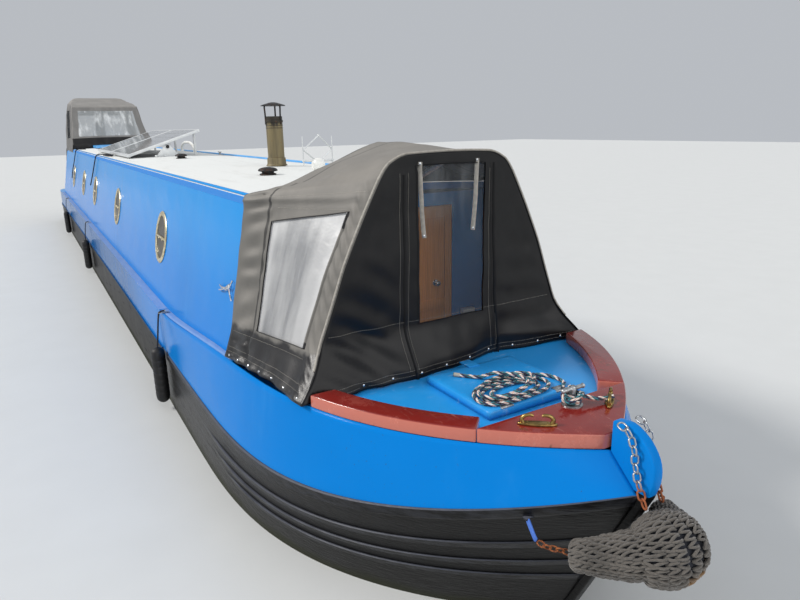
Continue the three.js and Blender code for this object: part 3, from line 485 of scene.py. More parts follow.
def make_red(f):
    """Red oxide gloss: deep on top and lighter on the outer faces, which is painted light and shade; rubbed in
    patches, rust where it is chipped.
    """
    at = f.place()
    wear = f.ramp(f.clouds(at, 7, 6, 0.7), 0.5, 0.68)
    scratch = f.ramp(f.clouds(f.place((8, 60, 30)), 1.0, 6, 0.7), 0.6, 0.7)
    # painted light: upright faces are painted lighter than the tops, with a little wear mixed in
    painted_light_upright = f.ramp(f.facing()[2], 0.8, 0.3)
    tone = f.blend(painted_light_upright * 0.8 + wear * 0.15, colours().cants, "#cd7765")
    tone = f.blend(scratch * 0.3, tone, "#c79a8a")
    tone = f.blend(f.ramp(f.clouds(at, 16, 5), 0.64, 0.7) * 0.6, tone, "#5a3527")
    height = f.clouds(at, 30, 4) * 0.002
    return f.shade(tone, wear * 0.2 + 0.18, Normal=f.bump(height, 0.5),
                   Coat_Weight=0.35, Coat_Roughness=0.12)


def make_roof(f):
    """Off-white anti-slip paint with rain streaks, soot and lichen."""
    at = f.place()
    grit = f.clouds(at, 240, 2)
    streak = f.ramp(f.clouds(f.place((0.7, 5, 1)), 2.0, 6, 0.65), 0.5, 0.72)
    spot = f.ramp(f.clouds(at, 11, 4, 0.7), 0.64, 0.72)
    tone = f.blend(streak * 0.22, colours().roof, "#bdbcb6")
    tone = f.blend(spot * 0.3, tone, "#99948a")
    edge = f.ramp(f.facing()[2], 0.75, 0.55)
    tone = f.blend(edge, tone, colours().topsides)
    return f.shade(tone, 0.6, Normal=f.bump(grit * 0.0012 + streak * 0.0004, 0.7))


def make_pale_blue(f):
    tone, rough, normal = gloss(f, linear("#4fa4e6"), "#c8dcee", 0.3, 0.6, 0.8, 0.3)
    return f.shade(tone, rough, Normal=normal)


def cloth(f, base, dusty, amount):
    """Coated acrylic canvas: weave, dust and painted sunlight on what faces up, pale creases, water marks."""
    at = f.place()
    thread = f.clouds(at, 420, 1)
    # dust and painted sunlight: what faces up is lightened towards the paler tone
    up = f.ramp(f.facing()[2], 0.05, 0.85)
    marks = f.clouds(f.place((4, 4, 1.5)), 1.0, 5, 0.65)
    crease = f.ramp(f.clouds(f.place((2.2, 9, 5)), 1.3, 5, 0.6), 0.55, 0.75)
    share = up * 0.75 * amount + f.ramp(marks, 0.4, 0.75) * 0.35 * amount + crease * 0.12
    tone = f.blend(share, base, dusty)
    tone = f.blend(f.ramp(thread, 0.5, 0.75) * 0.06 * amount, tone, "#9c9890")
    return tone, f.bump(thread * 0.0008 + marks * 0.003, 0.6)


def make_cover(f):
    """Canvas of the sides and top: grey above, which is dust and painted sunlight on near-black canvas; a dark, glossy
    skirt whose dark is painted shadow; a dark laced line.
    """
    tone, normal = cloth(f, colours().canvas, "#837f79", 1.0)
    t, s, _w = f.split(f.across())
    edge = f.ramp(f.clouds(f.place(), 9, 4), 0.3, 0.7) * 0.12
    # painted shadow: the skirt is painted near black, as a shadow falling across the lower cover
    skirt = f.ramp(s + edge, 1.3, 1.16) + f.ramp(s - edge, 14.7, 14.84)
    laced = f.ramp(t, 0.73, 0.737) * f.ramp(t, 0.757, 0.75)
    tone = f.blend(skirt, tone, "#151416")
    tone = f.blend(laced * 0.8, tone, "#101012")
    return f.shade(tone, 0.62 - skirt * 0.3, Normal=normal)


def make_cover_front(f):
    """The front panel: the same canvas as a near-black copy, as it looks in shade, where the sides are a pale sunlit
    copy; glossier low down.
    """
    tone, normal = cloth(f, "#08080a", "#2c2c2e", 0.25)
    z = f.split(f.place())[2]
    low = f.ramp(z, WATERLINE + 1.22, WATERLINE + 1.1)
    return f.shade(tone, 0.44 - low * 0.14, Normal=normal, Specular_IOR_Level=0.3)


def make_hood_cloth(f):
    tone, normal = cloth(f, "#5a5958", "#8f8c88", 1.0)
    return f.shade(tone, 0.6, Normal=normal)


def make_hood_window(f):
    """The hood's large window, pale with haze and creases."""
    crease = f.ramp(f.clouds(f.place((1, 5, 2)), 1.6, 5, 0.6), 0.45, 0.7)
    bump = f.bump(f.clouds(f.place(), 5, 4) * 0.02, 0.9)
    tone = f.blend(crease, "#a9adae", "#e2e4e4")
    return f.shade(tone, 0.15, Alpha=crease * 0.3 + 0.5, Normal=bump)


def make_clear(f):
    """Clear vinyl, hazed in streaks and wrinkled."""
    haze = f.clouds(f.place((2, 5, 1.6)), 1.0, 5, 0.6)
    cloudy = f.ramp(haze, 0.5, 0.8)
    bump = f.bump(f.clouds(f.place(), 3.4, 3) * 0.02, 0.8)
    return f.shade("#cfd4d8", cloudy * 0.12 + 0.04, Alpha=cloudy * 0.07 + 0.03,
                   Normal=bump, IOR=1.45)


def make_milky(f):
    """Older vinyl, milky, with pale slanting streaks; brighter towards its front, rear and top edges and darker low in
    the middle, which is painted light and shade.
    """
    t, s, _w = f.split(f.across())
    slant = f.clouds(f.node("ShaderNodeMapping", {}, {"Vector": f.place(), "Rotation": (0, 0.7, 0),
                                                      "Scale": (4.5, 1, 0.7)}), 1.3, 4, 0.5)
    wipe = f.ramp(slant, 0.4, 0.66)
    # painted light and shade: the edges and top are painted brighter than the lower middle
    rim = f.ramp(t, 0.22, 0.14) + f.ramp(t, 0.6, 0.69) + f.ramp(s, 3.2, 3.9) * f.ramp(s, 12.1, 12.0)
    share = f.node("ShaderNodeMath", {"operation": "ADD", "use_clamp": True}, [wipe * 0.6, rim * 0.4])
    tone = f.blend(share, "#959698", "#dadada")
    bump = f.bump(f.clouds(f.place(), 4.0, 4) * 0.02, 0.9)
    return f.shade(tone, wipe * 0.15 + 0.22, Alpha=wipe * 0.16 + 0.62, Normal=bump, IOR=1.45)


def make_varnish(f):
    """Varnished plywood: long figure, warm orange brown."""
    at = f.place((3.5, 3.5, 0.55))
    bend = f.clouds(at, 2.0, 4)
    wave = f.node("ShaderNodeTexWave", {"wave_type": "BANDS", "bands_direction": "Y"},
                  {"Vector": at, "Scale": 7.0, "Distortion": 6.0, "Detail": 4.0, "Detail Scale": 1.4})
    fibre = f.clouds(f.place((60, 60, 3)), 1.0, 4, 0.6)
    tone = f.blend(wave * 0.5 + bend * 0.3, "#f6a24c", "#cd7a32")
    tone = f.blend(f.ramp(fibre, 0.5, 0.75) * 0.3, tone, "#9a5822")
    return f.shade(tone, 0.3, Normal=f.bump(fibre * 0.0005, 0.5), Coat_Weight=0.5,
                   Coat_Roughness=0.15)


def make_boards(f):
    at = f.place((1.2, 9, 9))
    fibre = f.clouds(at, 3.0, 6, 0.65)
    gap = f.node("ShaderNodeMath", {"operation": "PINGPONG"}, [f.split(f.place())[1], 0.07])
    tone = f.blend(fibre, "#8a6238", "#5f4226")
    tone = f.blend(f.ramp(gap, 0.003, 0.001), tone, "#1b130c")
    return f.shade(tone, 0.55, Normal=f.bump(fibre * 0.002, 0.5))


def metal(bright, dull, low, streaks=40):
    """The maker of a bare metal that is dull in places."""

    def make(f):
        at = f.place()
        worn = f.ramp(f.clouds(at, streaks, 5, 0.65), 0.4, 0.7)
        return f.shade(f.blend(worn, bright, dull), worn * 0.3 + low, Metallic=1.0,
                       Normal=f.bump(f.clouds(at, 160, 3) * 0.0006, 0.5))

    return make


def grained(scale, detail, one, other, rough, **more):
    """The maker of a finish of two tones mixed by fine grain."""
    return lambda f: f.shade(f.blend(f.clouds(f.place(), scale, detail), one, other), rough,
                             **more)


def make_rust(f):
    at = f.place()
    flake = f.clouds(at, 110, 5, 0.7)
    tone = f.blend(f.ramp(flake, 0.35, 0.7), "#5a2c18", "#b06a3a")
    return f.shade(tone, 0.85, Normal=f.bump(flake * 0.002, 0.8))


def make_chain(f):
    """Galvanised above, rusty where it hangs low."""
    at = f.place()
    z = f.split(at)[2]
    flake = f.clouds(at, 120, 5, 0.7)
    low = f.ramp(z + flake * 0.06, 1.46, 1.40)
    tone = f.blend(low, f.blend(flake, "#d0d3d5", "#84888c"),
                   f.blend(flake, "#6a3219", "#b5683a"))
    return f.shade(tone, low * 0.45 + 0.32, Metallic=(1 - low) * 0.9,
                   Normal=f.bump(flake * 0.001, 0.6))


def make_rope(f):
    """Three-strand rope of black, teal, white and salmon yarns.

    UV x is the strand's number plus the share of a turn round it, y the length in radii.
    """
    u, v, _w = f.split(f.across())
    fleck = (u * 3.0 + v * 0.4).math("FRACT")
    pale = f.node("ShaderNodeValToRGB", {"stops": ((0.0, "#eeebe4"), (0.66, "#dd9c88")),
                                         "ramp": "CONSTANT"}, [fleck])
    dark = f.node("ShaderNodeValToRGB", {"stops": ((0.0, "#101318"), (0.6, "#23386b")),
                                         "ramp": "CONSTANT"}, [fleck])
    teal = f.node("ShaderNodeValToRGB", {"stops": ((0.0, "#2f8493"), (0.62, "#14181c")),
                                         "ramp": "CONSTANT"}, [fleck])
    tone = f.blend(u > 2.0, f.blend(u > 1.0, pale, dark), teal)
    dirt = f.clouds(f.place(), 60, 4)
    tone = f.blend(f.ramp(dirt, 0.45, 0.75) * 0.3, tone, "#6d6557")
    ridge = (u * 5.0 + v * 0.75).math("FRACT").math("PINGPONG", 0.5)
    return f.shade(tone, 0.85, Normal=f.bump(ridge * 0.004, 0.7), Sheen_Weight=0.3)


def make_fender_rope(f):
    """Weathered grey fender rope, fibres and dirt."""
    at = f.place()
    fibre = f.clouds(at, 130, 5, 0.7)
    broad = f.clouds(at, 7, 4)
    tone = f.blend(fibre, "#2d2b29", "#79736c")
    tone = f.blend(f.ramp(broad, 0.5, 0.7) * 0.4, tone, "#1f1d1a")
    x, y, z = f.split(at)
    stain = f.ramp(z + broad * 0.06, 1.19, 1.15) * f.ramp(y, -0.05, -0.01) * f.ramp(x, 8.6, 8.64)
    tone = f.blend(stain * 0.85, tone, "#7d5a2b")
    return f.shade(tone, 0.95, Normal=f.bump(fibre * 0.004, 0.8), Sheen_Weight=0.3)


def make_rubber(f):
    at = f.place()
    scuff = f.ramp(f.clouds(f.place((20, 20, 6)), 1.0, 5, 0.65), 0.5, 0.75)
    tone = f.blend(scuff * 0.5, "#0b0b0d", "#3e3d3c")
    return f.shade(tone, 0.55, Normal=f.bump(f.clouds(at, 50, 4) * 0.002, 0.6))


def make_white(f):
    at = f.place()
    dirt = f.ramp(f.clouds(f.place((9, 9, 3)), 1.4, 5, 0.65), 0.5, 0.75)
    tone = f.blend(dirt * 0.4, "#efefeb", "#b3aa98")
    return f.shade(tone, 0.4, Normal=f.bump(f.clouds(at, 70, 3) * 0.0008, 0.5))


def make_flue(f):
    """Heat-stained chimney paint: olive khaki, with a sooty collar at the top."""
    at = f.place()
    z = f.split(at)[2]
    streak = f.ramp(f.clouds(f.place((16, 16, 1.4)), 1.0, 5, 0.65), 0.42, 0.7)
    tone = f.blend(streak * 0.7, "#7d7152", "#463f33")
    soot = f.ramp(z + streak * 0.05, 2.69, 2.73)
    tone = f.blend(soot * 0.9, tone, "#191716")
    rust = f.ramp(f.clouds(at, 22, 6, 0.7), 0.6, 0.7)
    tone = f.blend(rust * 0.6, tone, "#7c4a26")
    return f.shade(tone, 0.55, Metallic=0.25, Normal=f.bump(streak * 0.001, 0.6))


def make_dark_iron(f):
    at = f.place()
    rust = f.ramp(f.clouds(at, 30, 6, 0.7), 0.52, 0.66)
    tone = f.blend(rust * 0.6, "#2e2f30", "#6d4429")
    return f.shade(tone, rust * 0.3 + 0.45, Metallic=0.6,
                   Normal=f.bump(rust * 0.001, 0.6))


def make_cell(f):
    """Solar cells: dark blue-grey glass with fine silver fingers, lightened by dust and a painted glare."""
    x, y, _z = f.split(f.place())
    finger = (x * 250.0).math("FRACT") < 0.18
    busbar = (y * 19.0).math("FRACT") < 0.06
    dust = f.ramp(f.clouds(f.place((2, 5, 5)), 2.0, 5), 0.35, 0.8)
    tone = f.blend(finger * 0.2 + busbar * 0.6, "#1d2430", "#b8bcc0")
    # dust and painted glare: all the glass is lightened a little, and more where dust lies
    tone = f.blend(dust * 0.4 + 0.15, tone, "#9a9c9c")
    return f.shade(tone, dust * 0.15 + 0.08, Coat_Weight=1.0, Coat_Roughness=0.04)


def make_glass(f):
    """Porthole glass, dusty, with the dark of the cabin behind it."""
    dust = f.clouds(f.place(), 5, 5, 0.6)
    tone = f.blend(dust, "#1d1b1a", "#45413c")
    return f.shade(tone, dust * 0.2 + 0.2, Specular_IOR_Level=0.12)


def make_engine(f):
    at = f.place()
    oil = f.ramp(f.clouds(at, 9, 5, 0.65), 0.5, 0.7)
    tone = f.blend(oil * 0.6, "#2e6b46", "#1b1b16")
    return f.shade(tone, 0.4, Normal=f.bump(f.clouds(at, 40, 4) * 0.003, 0.6))


def make_plate(f):
    """Painted chequer steel of the cockpit floor."""
    at = f.place()
    x, y, _z = f.split(f.place((22, 22, 1)))
    lozenge = ((x + y).math("SINE") * (x - y).math("SINE")) > 0.55
    dirt = f.clouds(at, 6, 5)
    tone = f.blend(dirt, "#6f7376", "#3b3936")
    return f.shade(tone, 0.5, Metallic=0.4, Normal=f.bump(lozenge * 0.002, 0.6))


MAKERS = {
    "blue_gloss": make_blue, "hull_black": make_hull_black, "strake_black": make_strake,
    "hull_side": make_hull_side, "deck_blue": make_deck_blue, "red_oxide": make_red, "roof_paint": make_roof,
    "pale_blue": make_pale_blue, "canvas": make_cover, "canvas_front": make_cover_front,
    "hood_cloth": make_hood_cloth, "hood_window": make_hood_window, "clear_vinyl": make_clear,
    "milky_vinyl": make_milky, "varnish": make_varnish, "boards": make_boards, "rust": make_rust,
    "chain": make_chain, "rope": make_rope, "fender_rope": make_fender_rope, "rubber": make_rubber,
    "white": make_white, "flue": make_flue, "dark_iron": make_dark_iron, "cell": make_cell,
    "porthole_glass": make_glass, "engine": make_engine, "cockpit_plate": make_plate,
    "brass": metal("#eadfbe", "#ab986c", 0.22), "bronze": metal("#a88d56", "#5c4d33", 0.3),
    "chrome": metal("#e8eaec", "#9da1a6", 0.08), "galvanised": metal("#c9ccce", "#83878b", 0.3, 70),
    "aluminium": grained(12, 4, "#e4e6e6", "#b9bdbf", 0.4, Metallic=0.35),
    "piping": grained(60, 4, "#6e6a64", "#c0bbb1", 0.55),
    "thread": grained(300, 2, "#8f8a80", "#d9d4c8", 0.7),
    "blue_cord": grained(200, 4, "#1c49a4", "#5a86d6", 0.8),
    "dark_cord": grained(200, 4, "#0e1016", "#34363f", 0.85),
    "studio_floor": grained(3, 4, "#cdcfcf", "#d3d5d5", 0.85),
}


# Mesh tools
def uv_of(bm):
    return bm.loops.layers.uv.get("UVMap") or bm.loops.layers.uv.new("UVMap")


def fresh():
    bm = bmesh.new()
    uv_of(bm)
    return bm


def lines(*runs):
    """Grid lines: runs of (from, to, steps), one after another."""
    values = [runs[0][0]]
    for start, end, steps in runs:
        values += [mix(start, end, (i + 1) / steps) for i in range(steps)]
    return values


def lattice(bm, us, vs, place, pattern=None, uv=None):
    """Adds a grid with its lines at us and vs, each point moved to place(u, v).

    pattern(u, v) picks a face's finish, uv(u, v) its place on the UV map.
    """
    made = bmesh.ops.create_grid(bm, x_segments=len(us) - 1, y_segments=len(vs) - 1, size=0.5)
    where = {}
    for vert in made["verts"]:
        i = round((vert.co.x + 0.5) * (len(us) - 1))
        j = round((vert.co.y + 0.5) * (len(vs) - 1))
        where[vert] = (us[i], vs[j])
    layer = uv_of(bm)
    for face in {face for vert in made["verts"] for face in vert.link_faces}:
        for loop in face.loops:
            u, v = where[loop.vert]
            loop[layer].uv = uv(u, v) if uv else (u, v)
        if pattern:
            corners = [where[vert] for vert in face.verts]
            middle = [sum(c[i] for c in corners) / len(corners) for i in (0, 1)]
            face.material_index = pattern(*middle)
    for vert, (u, v) in where.items():
        vert.co = place(u, v)


def add(bm, part, matrix=None):
    """Adds a part to a mesh, turned and placed by the matrix."""
    if matrix is not None:
        bmesh.ops.transform(part, matrix=matrix, verts=part.verts)
    mesh = bpy.data.meshes.new("part")
    part.to_mesh(mesh)
    part.free()
    bm.from_mesh(mesh)
    bpy.data.meshes.remove(mesh)


def scatter(bm, unit, matrices):
    """Adds a copy of the unit at each matrix."""
    mesh = bpy.data.meshes.new("unit")
    unit.to_mesh(mesh)
    unit.free()
    for matrix in matrices:
        copy = mesh.copy()
        copy.transform(matrix)
        bm.from_mesh(copy)
        bpy.data.meshes.remove(copy)
    bpy.data.meshes.remove(mesh)


def soften(bm, width, segments=2, sharp=30.0):
    """Rounds the edges that meet at more than `sharp` degrees."""
    limit = math.radians(sharp)
    edges = [edge for edge in bm.edges if len(edge.link_faces) == 2 and edge.calc_face_angle(0) > limit]
    bmesh.ops.bevel(bm, geom=edges, offset=width, affect="EDGES", segments=segments, profile=0.5, material=-1,
                    clamp_overlap=True)
    return bm


def block(low, high, bevel=0.003, segments=2):
    bm = fresh()
    low, high = Vector(low), Vector(high)
    made = bmesh.ops.create_cube(bm, size=1.0)
    bmesh.ops.scale(bm, vec=high - low, verts=made["verts"])
    bmesh.ops.translate(bm, vec=(low + high) / 2, verts=made["verts"])
    return soften(bm, bevel, segments) if bevel else bm


def axes(x, y, z):
    """A matrix that takes the three axes to these."""
    return Matrix((x, y, z)).transposed().to_4x4()


def pointing(direction, at=(0, 0, 0)):
    """A matrix that takes +Z to the direction and the origin to a place."""
    return Matrix.Translation(at) @ Vector(direction).to_track_quat("Z", "Y").to_matrix().to_4x4()


def rod(a, b, radius, sides=16, bevel=0.0, end=None):
    bm = fresh()
    a, b = Vector(a), Vector(b)
    bmesh.ops.create_cone(bm, cap_ends=True, segments=sides, radius1=radius,
                          radius2=radius if end is None else end,
                          depth=(b - a).length)
    if bevel:
        soften(bm, bevel, 2, 50)
    bmesh.ops.transform(bm, matrix=pointing(b - a, (a + b) / 2), verts=bm.verts)
    return bm


def ball(at, radius, scale=(1, 1, 1), rings=12):
    bm = fresh()
    bmesh.ops.create_uvsphere(bm, u_segments=rings * 2, v_segments=rings, radius=radius)
    bmesh.ops.scale(bm, vec=scale, verts=bm.verts)
    bmesh.ops.translate(bm, vec=at, verts=bm.verts)
    return bm


def turned(rows, sides=40):
    """A turned piece about Z: rows of radius and height."""
    bm = fresh()
    chain = [bm.verts.new((radius, 0, height)) for radius, height in rows]
    edges = [bm.edges.new(pair) for pair in zip(chain, chain[1:])]
    bmesh.ops.spin(bm, geom=chain + edges, cent=(0, 0, 0), axis=(0, 0, 1), dvec=(0, 0, 0), angle=TURN,
                   steps=sides, use_merge=True)
    bmesh.ops.remove_doubles(bm, verts=bm.verts, dist=1e-6)
    return bm


def slab(outline, thickness, bevel=0.004, segments=2):
    """A flat outline given a thickness, with its edges rounded."""
    bm = fresh()
    face = bm.faces.new([bm.verts.new(point) for point in outline])
    made = bmesh.ops.extrude_face_region(bm, geom=[face])
    moved = [item for item in made["geom"] if isinstance(item, bmesh.types.BMVert)]
    bmesh.ops.translate(bm, vec=thickness, verts=moved)
    bmesh.ops.recalc_face_normals(bm, faces=bm.faces)
    return soften(bm, bevel, segments, 40) if bevel else bm


def curve_point(a, b, c, d, t):
    """A place on the smooth curve from b to c, whose neighbours are a and d."""
    turn = (a * 2 - b * 5 + c * 4 - d) * t * t + (b * 3 - a - c * 3 + d) * t ** 3
    return (b * 2 + (c - a) * t + turn) / 2


def through(points, steps):
    """Points along a smooth curve through the given ones, with `steps` to each stretch."""
    points = [Vector(point) for point in points]
    whole = [points[0] * 2 - points[1], *points, points[-1] * 2 - points[-2]]
    made = []
    for a, b, c, d in zip(whole, whole[1:], whole[2:], whole[3:]):
        made += [curve_point(a, b, c, d, k / steps) for k in range(steps)]
    return [*made, points[-1]]


def length_of(points):
    return sum((b - a).length for a, b in zip(points, points[1:]))


def evenly(points, gap):
    """Points about `gap` apart along the same line."""
    total = length_of(points)
    count = max(2, round(total / gap))
    made = [points[0].copy()]
    run = 0.0
    for a, b in zip(points, points[1:]):
        step = (b - a).length
        while len(made) < count and run + step >= total * len(made) / count:
            made.append(a.lerp(b, (total * len(made) / count - run) / step))
        run += step
    return [*made, points[-1].copy()]


def across_path(points):
    """Two directions across a path at each of its points, turning as little as they can."""
    last = len(points) - 1
    side = None
    ways = []
    for i in range(last + 1):
        along = (points[min(i + 1, last)] - points[max(i - 1, 0)]).normalized()
        side = along.orthogonal() if side is None else side - along * side.dot(along)
        side.normalize()
        ways.append((side.copy(), along.cross(side)))
    return ways


STRAND_STEP = 0.55  # between the rings of a rope, in its radii


def tube(bm, points, radius, sides=10, shift=0.0, flat=1.0):
    """A tube with closed ends. radius may be a function of the share of the way; flat squeezes it one way."""
    ways = across_path(points)
    last = len(points) - 1
    rows = [0, *range(last + 1), last]

    def place(u, v):
        at = rows[round(v)]
        if v in (0, len(rows) - 1):
            return points[at]
        size = radius(at / last) if callable(radius) else radius
        side, up = ways[at]
        angle = TURN * (u % 1.0)
        return points[at] + side * (size * math.cos(angle)) + up * (size * flat * math.sin(angle))

    lattice(bm, lines((0, 1, sides)), list(range(len(rows))), place,
            uv=lambda u, v: (u + shift, v * STRAND_STEP))


def laid_rope(bm, points, radius, lay=7.0):
    """Three strands twisted round each other, a turn in every `lay` radii."""
    points = evenly(points, radius * STRAND_STEP)
    ways = across_path(points)
    for strand in range(3):
        centres = []
        for i, (point, (side, up)) in enumerate(zip(points, ways)):
            angle = TURN * (i * STRAND_STEP / lay + strand / 3)
            centres.append(point + (side * math.cos(angle) + up * math.sin(angle)) * (radius * 0.5))
        tube(bm, centres, radius * 0.55, 8, strand)


def link(length, wire, sides=8):
    """One chain link in the XZ plane, long in Z."""
    bm = fresh()
    half = length / 2 - wire / 2
    round_half = length * 0.3
    ring = []
    for i in range(16):
        angle = TURN * i / 16
        rise = (half - round_half) * (1 if math.sin(angle) > 0 else -1)
        ring.append(Vector((round_half * math.cos(angle), 0, round_half * math.sin(angle) + rise)))
    ring.append(ring[0])
    across = [(Vector((0, 1, 0)),
               (point - Vector((0, 0, max(-half + round_half, min(half - round_half, point.z)))))
               .normalized()) for point in ring]

    def place(u, v):
        out, up = across[round(v) % 16]
        angle = TURN * (u % 1.0)
        return ring[round(v) % 16] + out * (wire / 2 * math.cos(angle)) + up * (wire / 2 * math.sin(angle))

    lattice(bm, lines((0, 1, sides)), list(range(17)), place)
    bmesh.ops.remove_doubles(bm, verts=bm.verts, dist=1e-6)
    return bm


def chain(bm, points, length, wire):
    """Links along a path, each a quarter turn from the last."""
    points = evenly(through(points, 16), 0.002)
    pitch = length - wire * 1.9
    count = max(1, round(length_of(points) / pitch))
    matrices = []
    for i in range(count):
        at = round((i + 0.5) / count * (len(points) - 1))
        along = points[min(at + 1, len(points) - 1)] - points[max(at - 1, 0)]
        matrices.append(pointing(along, points[at]) @ Matrix.Rotation(math.pi / 2 * (i % 2) + 0.35, 4, "Z"))
    scatter(bm, link(length, wire), matrices)


def piece(name, bm, finishes, body="root", replaces=(), slot=None, sharp=35.0, away_from=None):
    """Makes an object that rides on a body. Open cloth faces away from the point given."""
    bmesh.ops.remove_doubles(bm, verts=bm.verts, dist=1e-6)
    bmesh.ops.recalc_face_normals(bm, faces=bm.faces)
    if away_from is not None:
        out = sum((face.calc_center_median() - Vector(away_from)).dot(face.normal) * face.calc_area()
                  for face in bm.faces)
        if out < 0:
            bmesh.ops.reverse_faces(bm, faces=bm.faces)
    limit = math.radians(sharp)
    for face in bm.faces:
        face.smooth = True
    for edge in bm.edges:
        edge.smooth = len(edge.link_faces) != 2 or edge.calc_face_angle(0) < limit
    mesh = bpy.data.meshes.new(name)
    bm.to_mesh(mesh)
    bm.free()
    made = bpy.data.objects.new(name, mesh)
    bpy.context.collection.objects.link(made)
    for one in finishes:
        mesh.materials.append(finish(one))
    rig.ride(made, body)
    if replaces:
        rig.replaces(made, *replaces)
    if slot:
        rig.slot(made, slot)
    return made


def thicken(made, thickness):
    """Gives cloth its thickness, towards the inside."""
    wall = made.modifiers.new("thickness", "SOLIDIFY")
    wall.thickness = thickness
    wall.offset = -1.0


def dress(finishes):
    """Gives CAD nodes their finish: node name to finish."""
    for node, name in finishes.items():
        mesh = bpy.data.objects[node].data
        for place in range(max(1, len(mesh.materials))):
            if place < len(mesh.materials):
                mesh.materials[place] = finish(name)
            else:
                mesh.materials.append(finish(name))


def ripple(x, y, z, size):
    """Smooth noise from -1 to 1 at a place."""
    return noise.noise(Vector((x, y, z)) / size)


# Sizes and colours that can be changed
def size_of(name, about, default, **limits):
    return bpy.props.FloatProperty(name=name, description=about, default=default, unit="LENGTH",
                                   subtype="DISTANCE", **limits)


def colour_of(name, about, code):
    return bpy.props.FloatVectorProperty(name=name, description=about, default=linear(code), subtype="COLOR",
                                         min=0, max=1)


class NarrowboatSizes(bpy.types.PropertyGroup):
    """Sizes of the fitted pieces."""

    rope: size_of("Rope", "Diameter of the mooring rope", 0.018, min=0.012, max=0.018)
    canvas: size_of("Canvas", "Thickness of the cover's canvas", 0.0018, min=0.0005, max=0.004)
    stitch: size_of("Fender stitch", "Length of one knitted stitch of the bow fender", 0.036, min=0.02,
                    max=0.05)
    floor: size_of("Floor", "Height of the floor: the waterline", WATERLINE)
    wrinkle: bpy.props.FloatProperty(
        name="Wrinkles", description="How deep the canvas is wrinkled", default=1.0, min=0.0, max=2.0,
        subtype="FACTOR")
    lens: bpy.props.FloatProperty(
        name="Lens", description="Focal length of the camera, on a 36 mm sensor", default=28.18,
        min=20, max=60, unit="CAMERA")


class NarrowboatColours(bpy.types.PropertyGroup):
    """Paint and canvas colours."""

    topsides: colour_of("Topsides", "Blue of the hull and cabin", "#0a7acd")
    faded: colour_of("Faded blue", "Where the blue is dusty or rubbed", "#5cace6")
    deck: colour_of("Deck", "Blue of the decks and locker lid", "#2598e4")
    cants: colour_of("Cants", "Red of the cants and bow plate", "#7d211b")
    roof: colour_of("Roof", "Roof paint", "#e6e8e6")
    # painted sunlight: the cover's canvas is near black, and this pale grey is its sunlit look
    canvas: colour_of("Canvas", "Canvas of the cratch cover", "#62605c")


# Camera and mooring rope, which come first
class NARROWBOAT_OT_camera(bpy.types.Operator):
    """Sets the camera: ahead of the boat, off its starboard bow"""
    bl_idname = "narrowboat.camera"
    bl_label = "Camera"

    def execute(self, context):
        yaw, pitch, roll = 0.5326, 0.271, -0.0192
        ahead = Vector((-math.cos(yaw) * math.cos(pitch), math.sin(yaw) * math.cos(pitch), -math.sin(pitch)))
        level = Vector((math.sin(yaw), math.cos(yaw), 0))
        raised = level.cross(ahead)
        right = level * math.cos(roll) + raised * math.sin(roll)
        up = raised * math.cos(roll) - level * math.sin(roll)
        turn = axes(right, up, -ahead)
        data = bpy.data.cameras.new("camera")
        data.sensor_fit = "HORIZONTAL"
        data.sensor_width = 36
        data.lens = context.scene.narrowboat_sizes.lens
        camera = bpy.data.objects.new("camera", data)
        camera.matrix_world = Matrix.Translation((9.7733, -1.7952, 2.6663)) @ turn
        context.collection.objects.link(camera)
        context.scene.camera = camera
        return {"FINISHED"}


STUD = Vector((CABIN_FRONT + 1.506, 0.046, PLATE_TOP))
FAIRLEADS = (("starboard", 1.568, -0.205, 0.88), ("port", 1.571, 0.2, -0.9))
LID_TOP = DECK_Z + 0.042
ROPE_LAYS = (  # metres ahead of the cabin, across, layer
    (1.328, 0.168, 0), (1.3, 0.205, 0), (1.235, 0.218, 0), (1.165, 0.18, 0), (1.118, 0.07, 0),
    (1.112, -0.06, 0), (1.15, -0.19, 0), (1.235, -0.245, 0), (1.305, -0.215, 0), (1.325, -0.11, 0),
    (1.318, 0.01, 0), (1.302, 0.095, 0), (1.255, 0.15, 0), (1.195, 0.14, 0), (1.15, 0.06, 0),
    (1.142, -0.05, 0), (1.172, -0.16, 0), (1.235, -0.21, 0), (1.285, -0.18, 0), (1.3, -0.09, 0), (1.29, 0, 0),
    (1.272, 0.068, 0), (1.245, 0.098, 0), (1.214, 0.097, 0), (1.186, 0.058, 0), (1.172, -0.03, 0),
    (1.188, -0.11, 0), (1.225, -0.155, 0), (1.262, -0.14, 0.1), (1.277, -0.08, 0.5), (1.268, 0, 1),
    (1.242, 0.066, 1), (1.206, 0.108, 1), (1.164, 0.116, 1), (1.13, 0.08, 1), (1.118, 0, 1),
    (1.13, -0.095, 1), (1.175, -0.19, 1), (1.228, -0.224, 1), (1.278, -0.208, 1), (1.304, -0.15, 1),
    (1.306, -0.08, 1.2), (1.288, -0.01, 1.85), (1.244, 0.026, 2.15), (1.188, 0.018, 2.15),
    (1.128, -0.024, 2.15), (1.1, -0.045, 1.9), (1.066, -0.064, 0.9), (1.04, -0.08, 0.2), (1.0, -0.11, 0),
    (0.94, -0.16, 0))


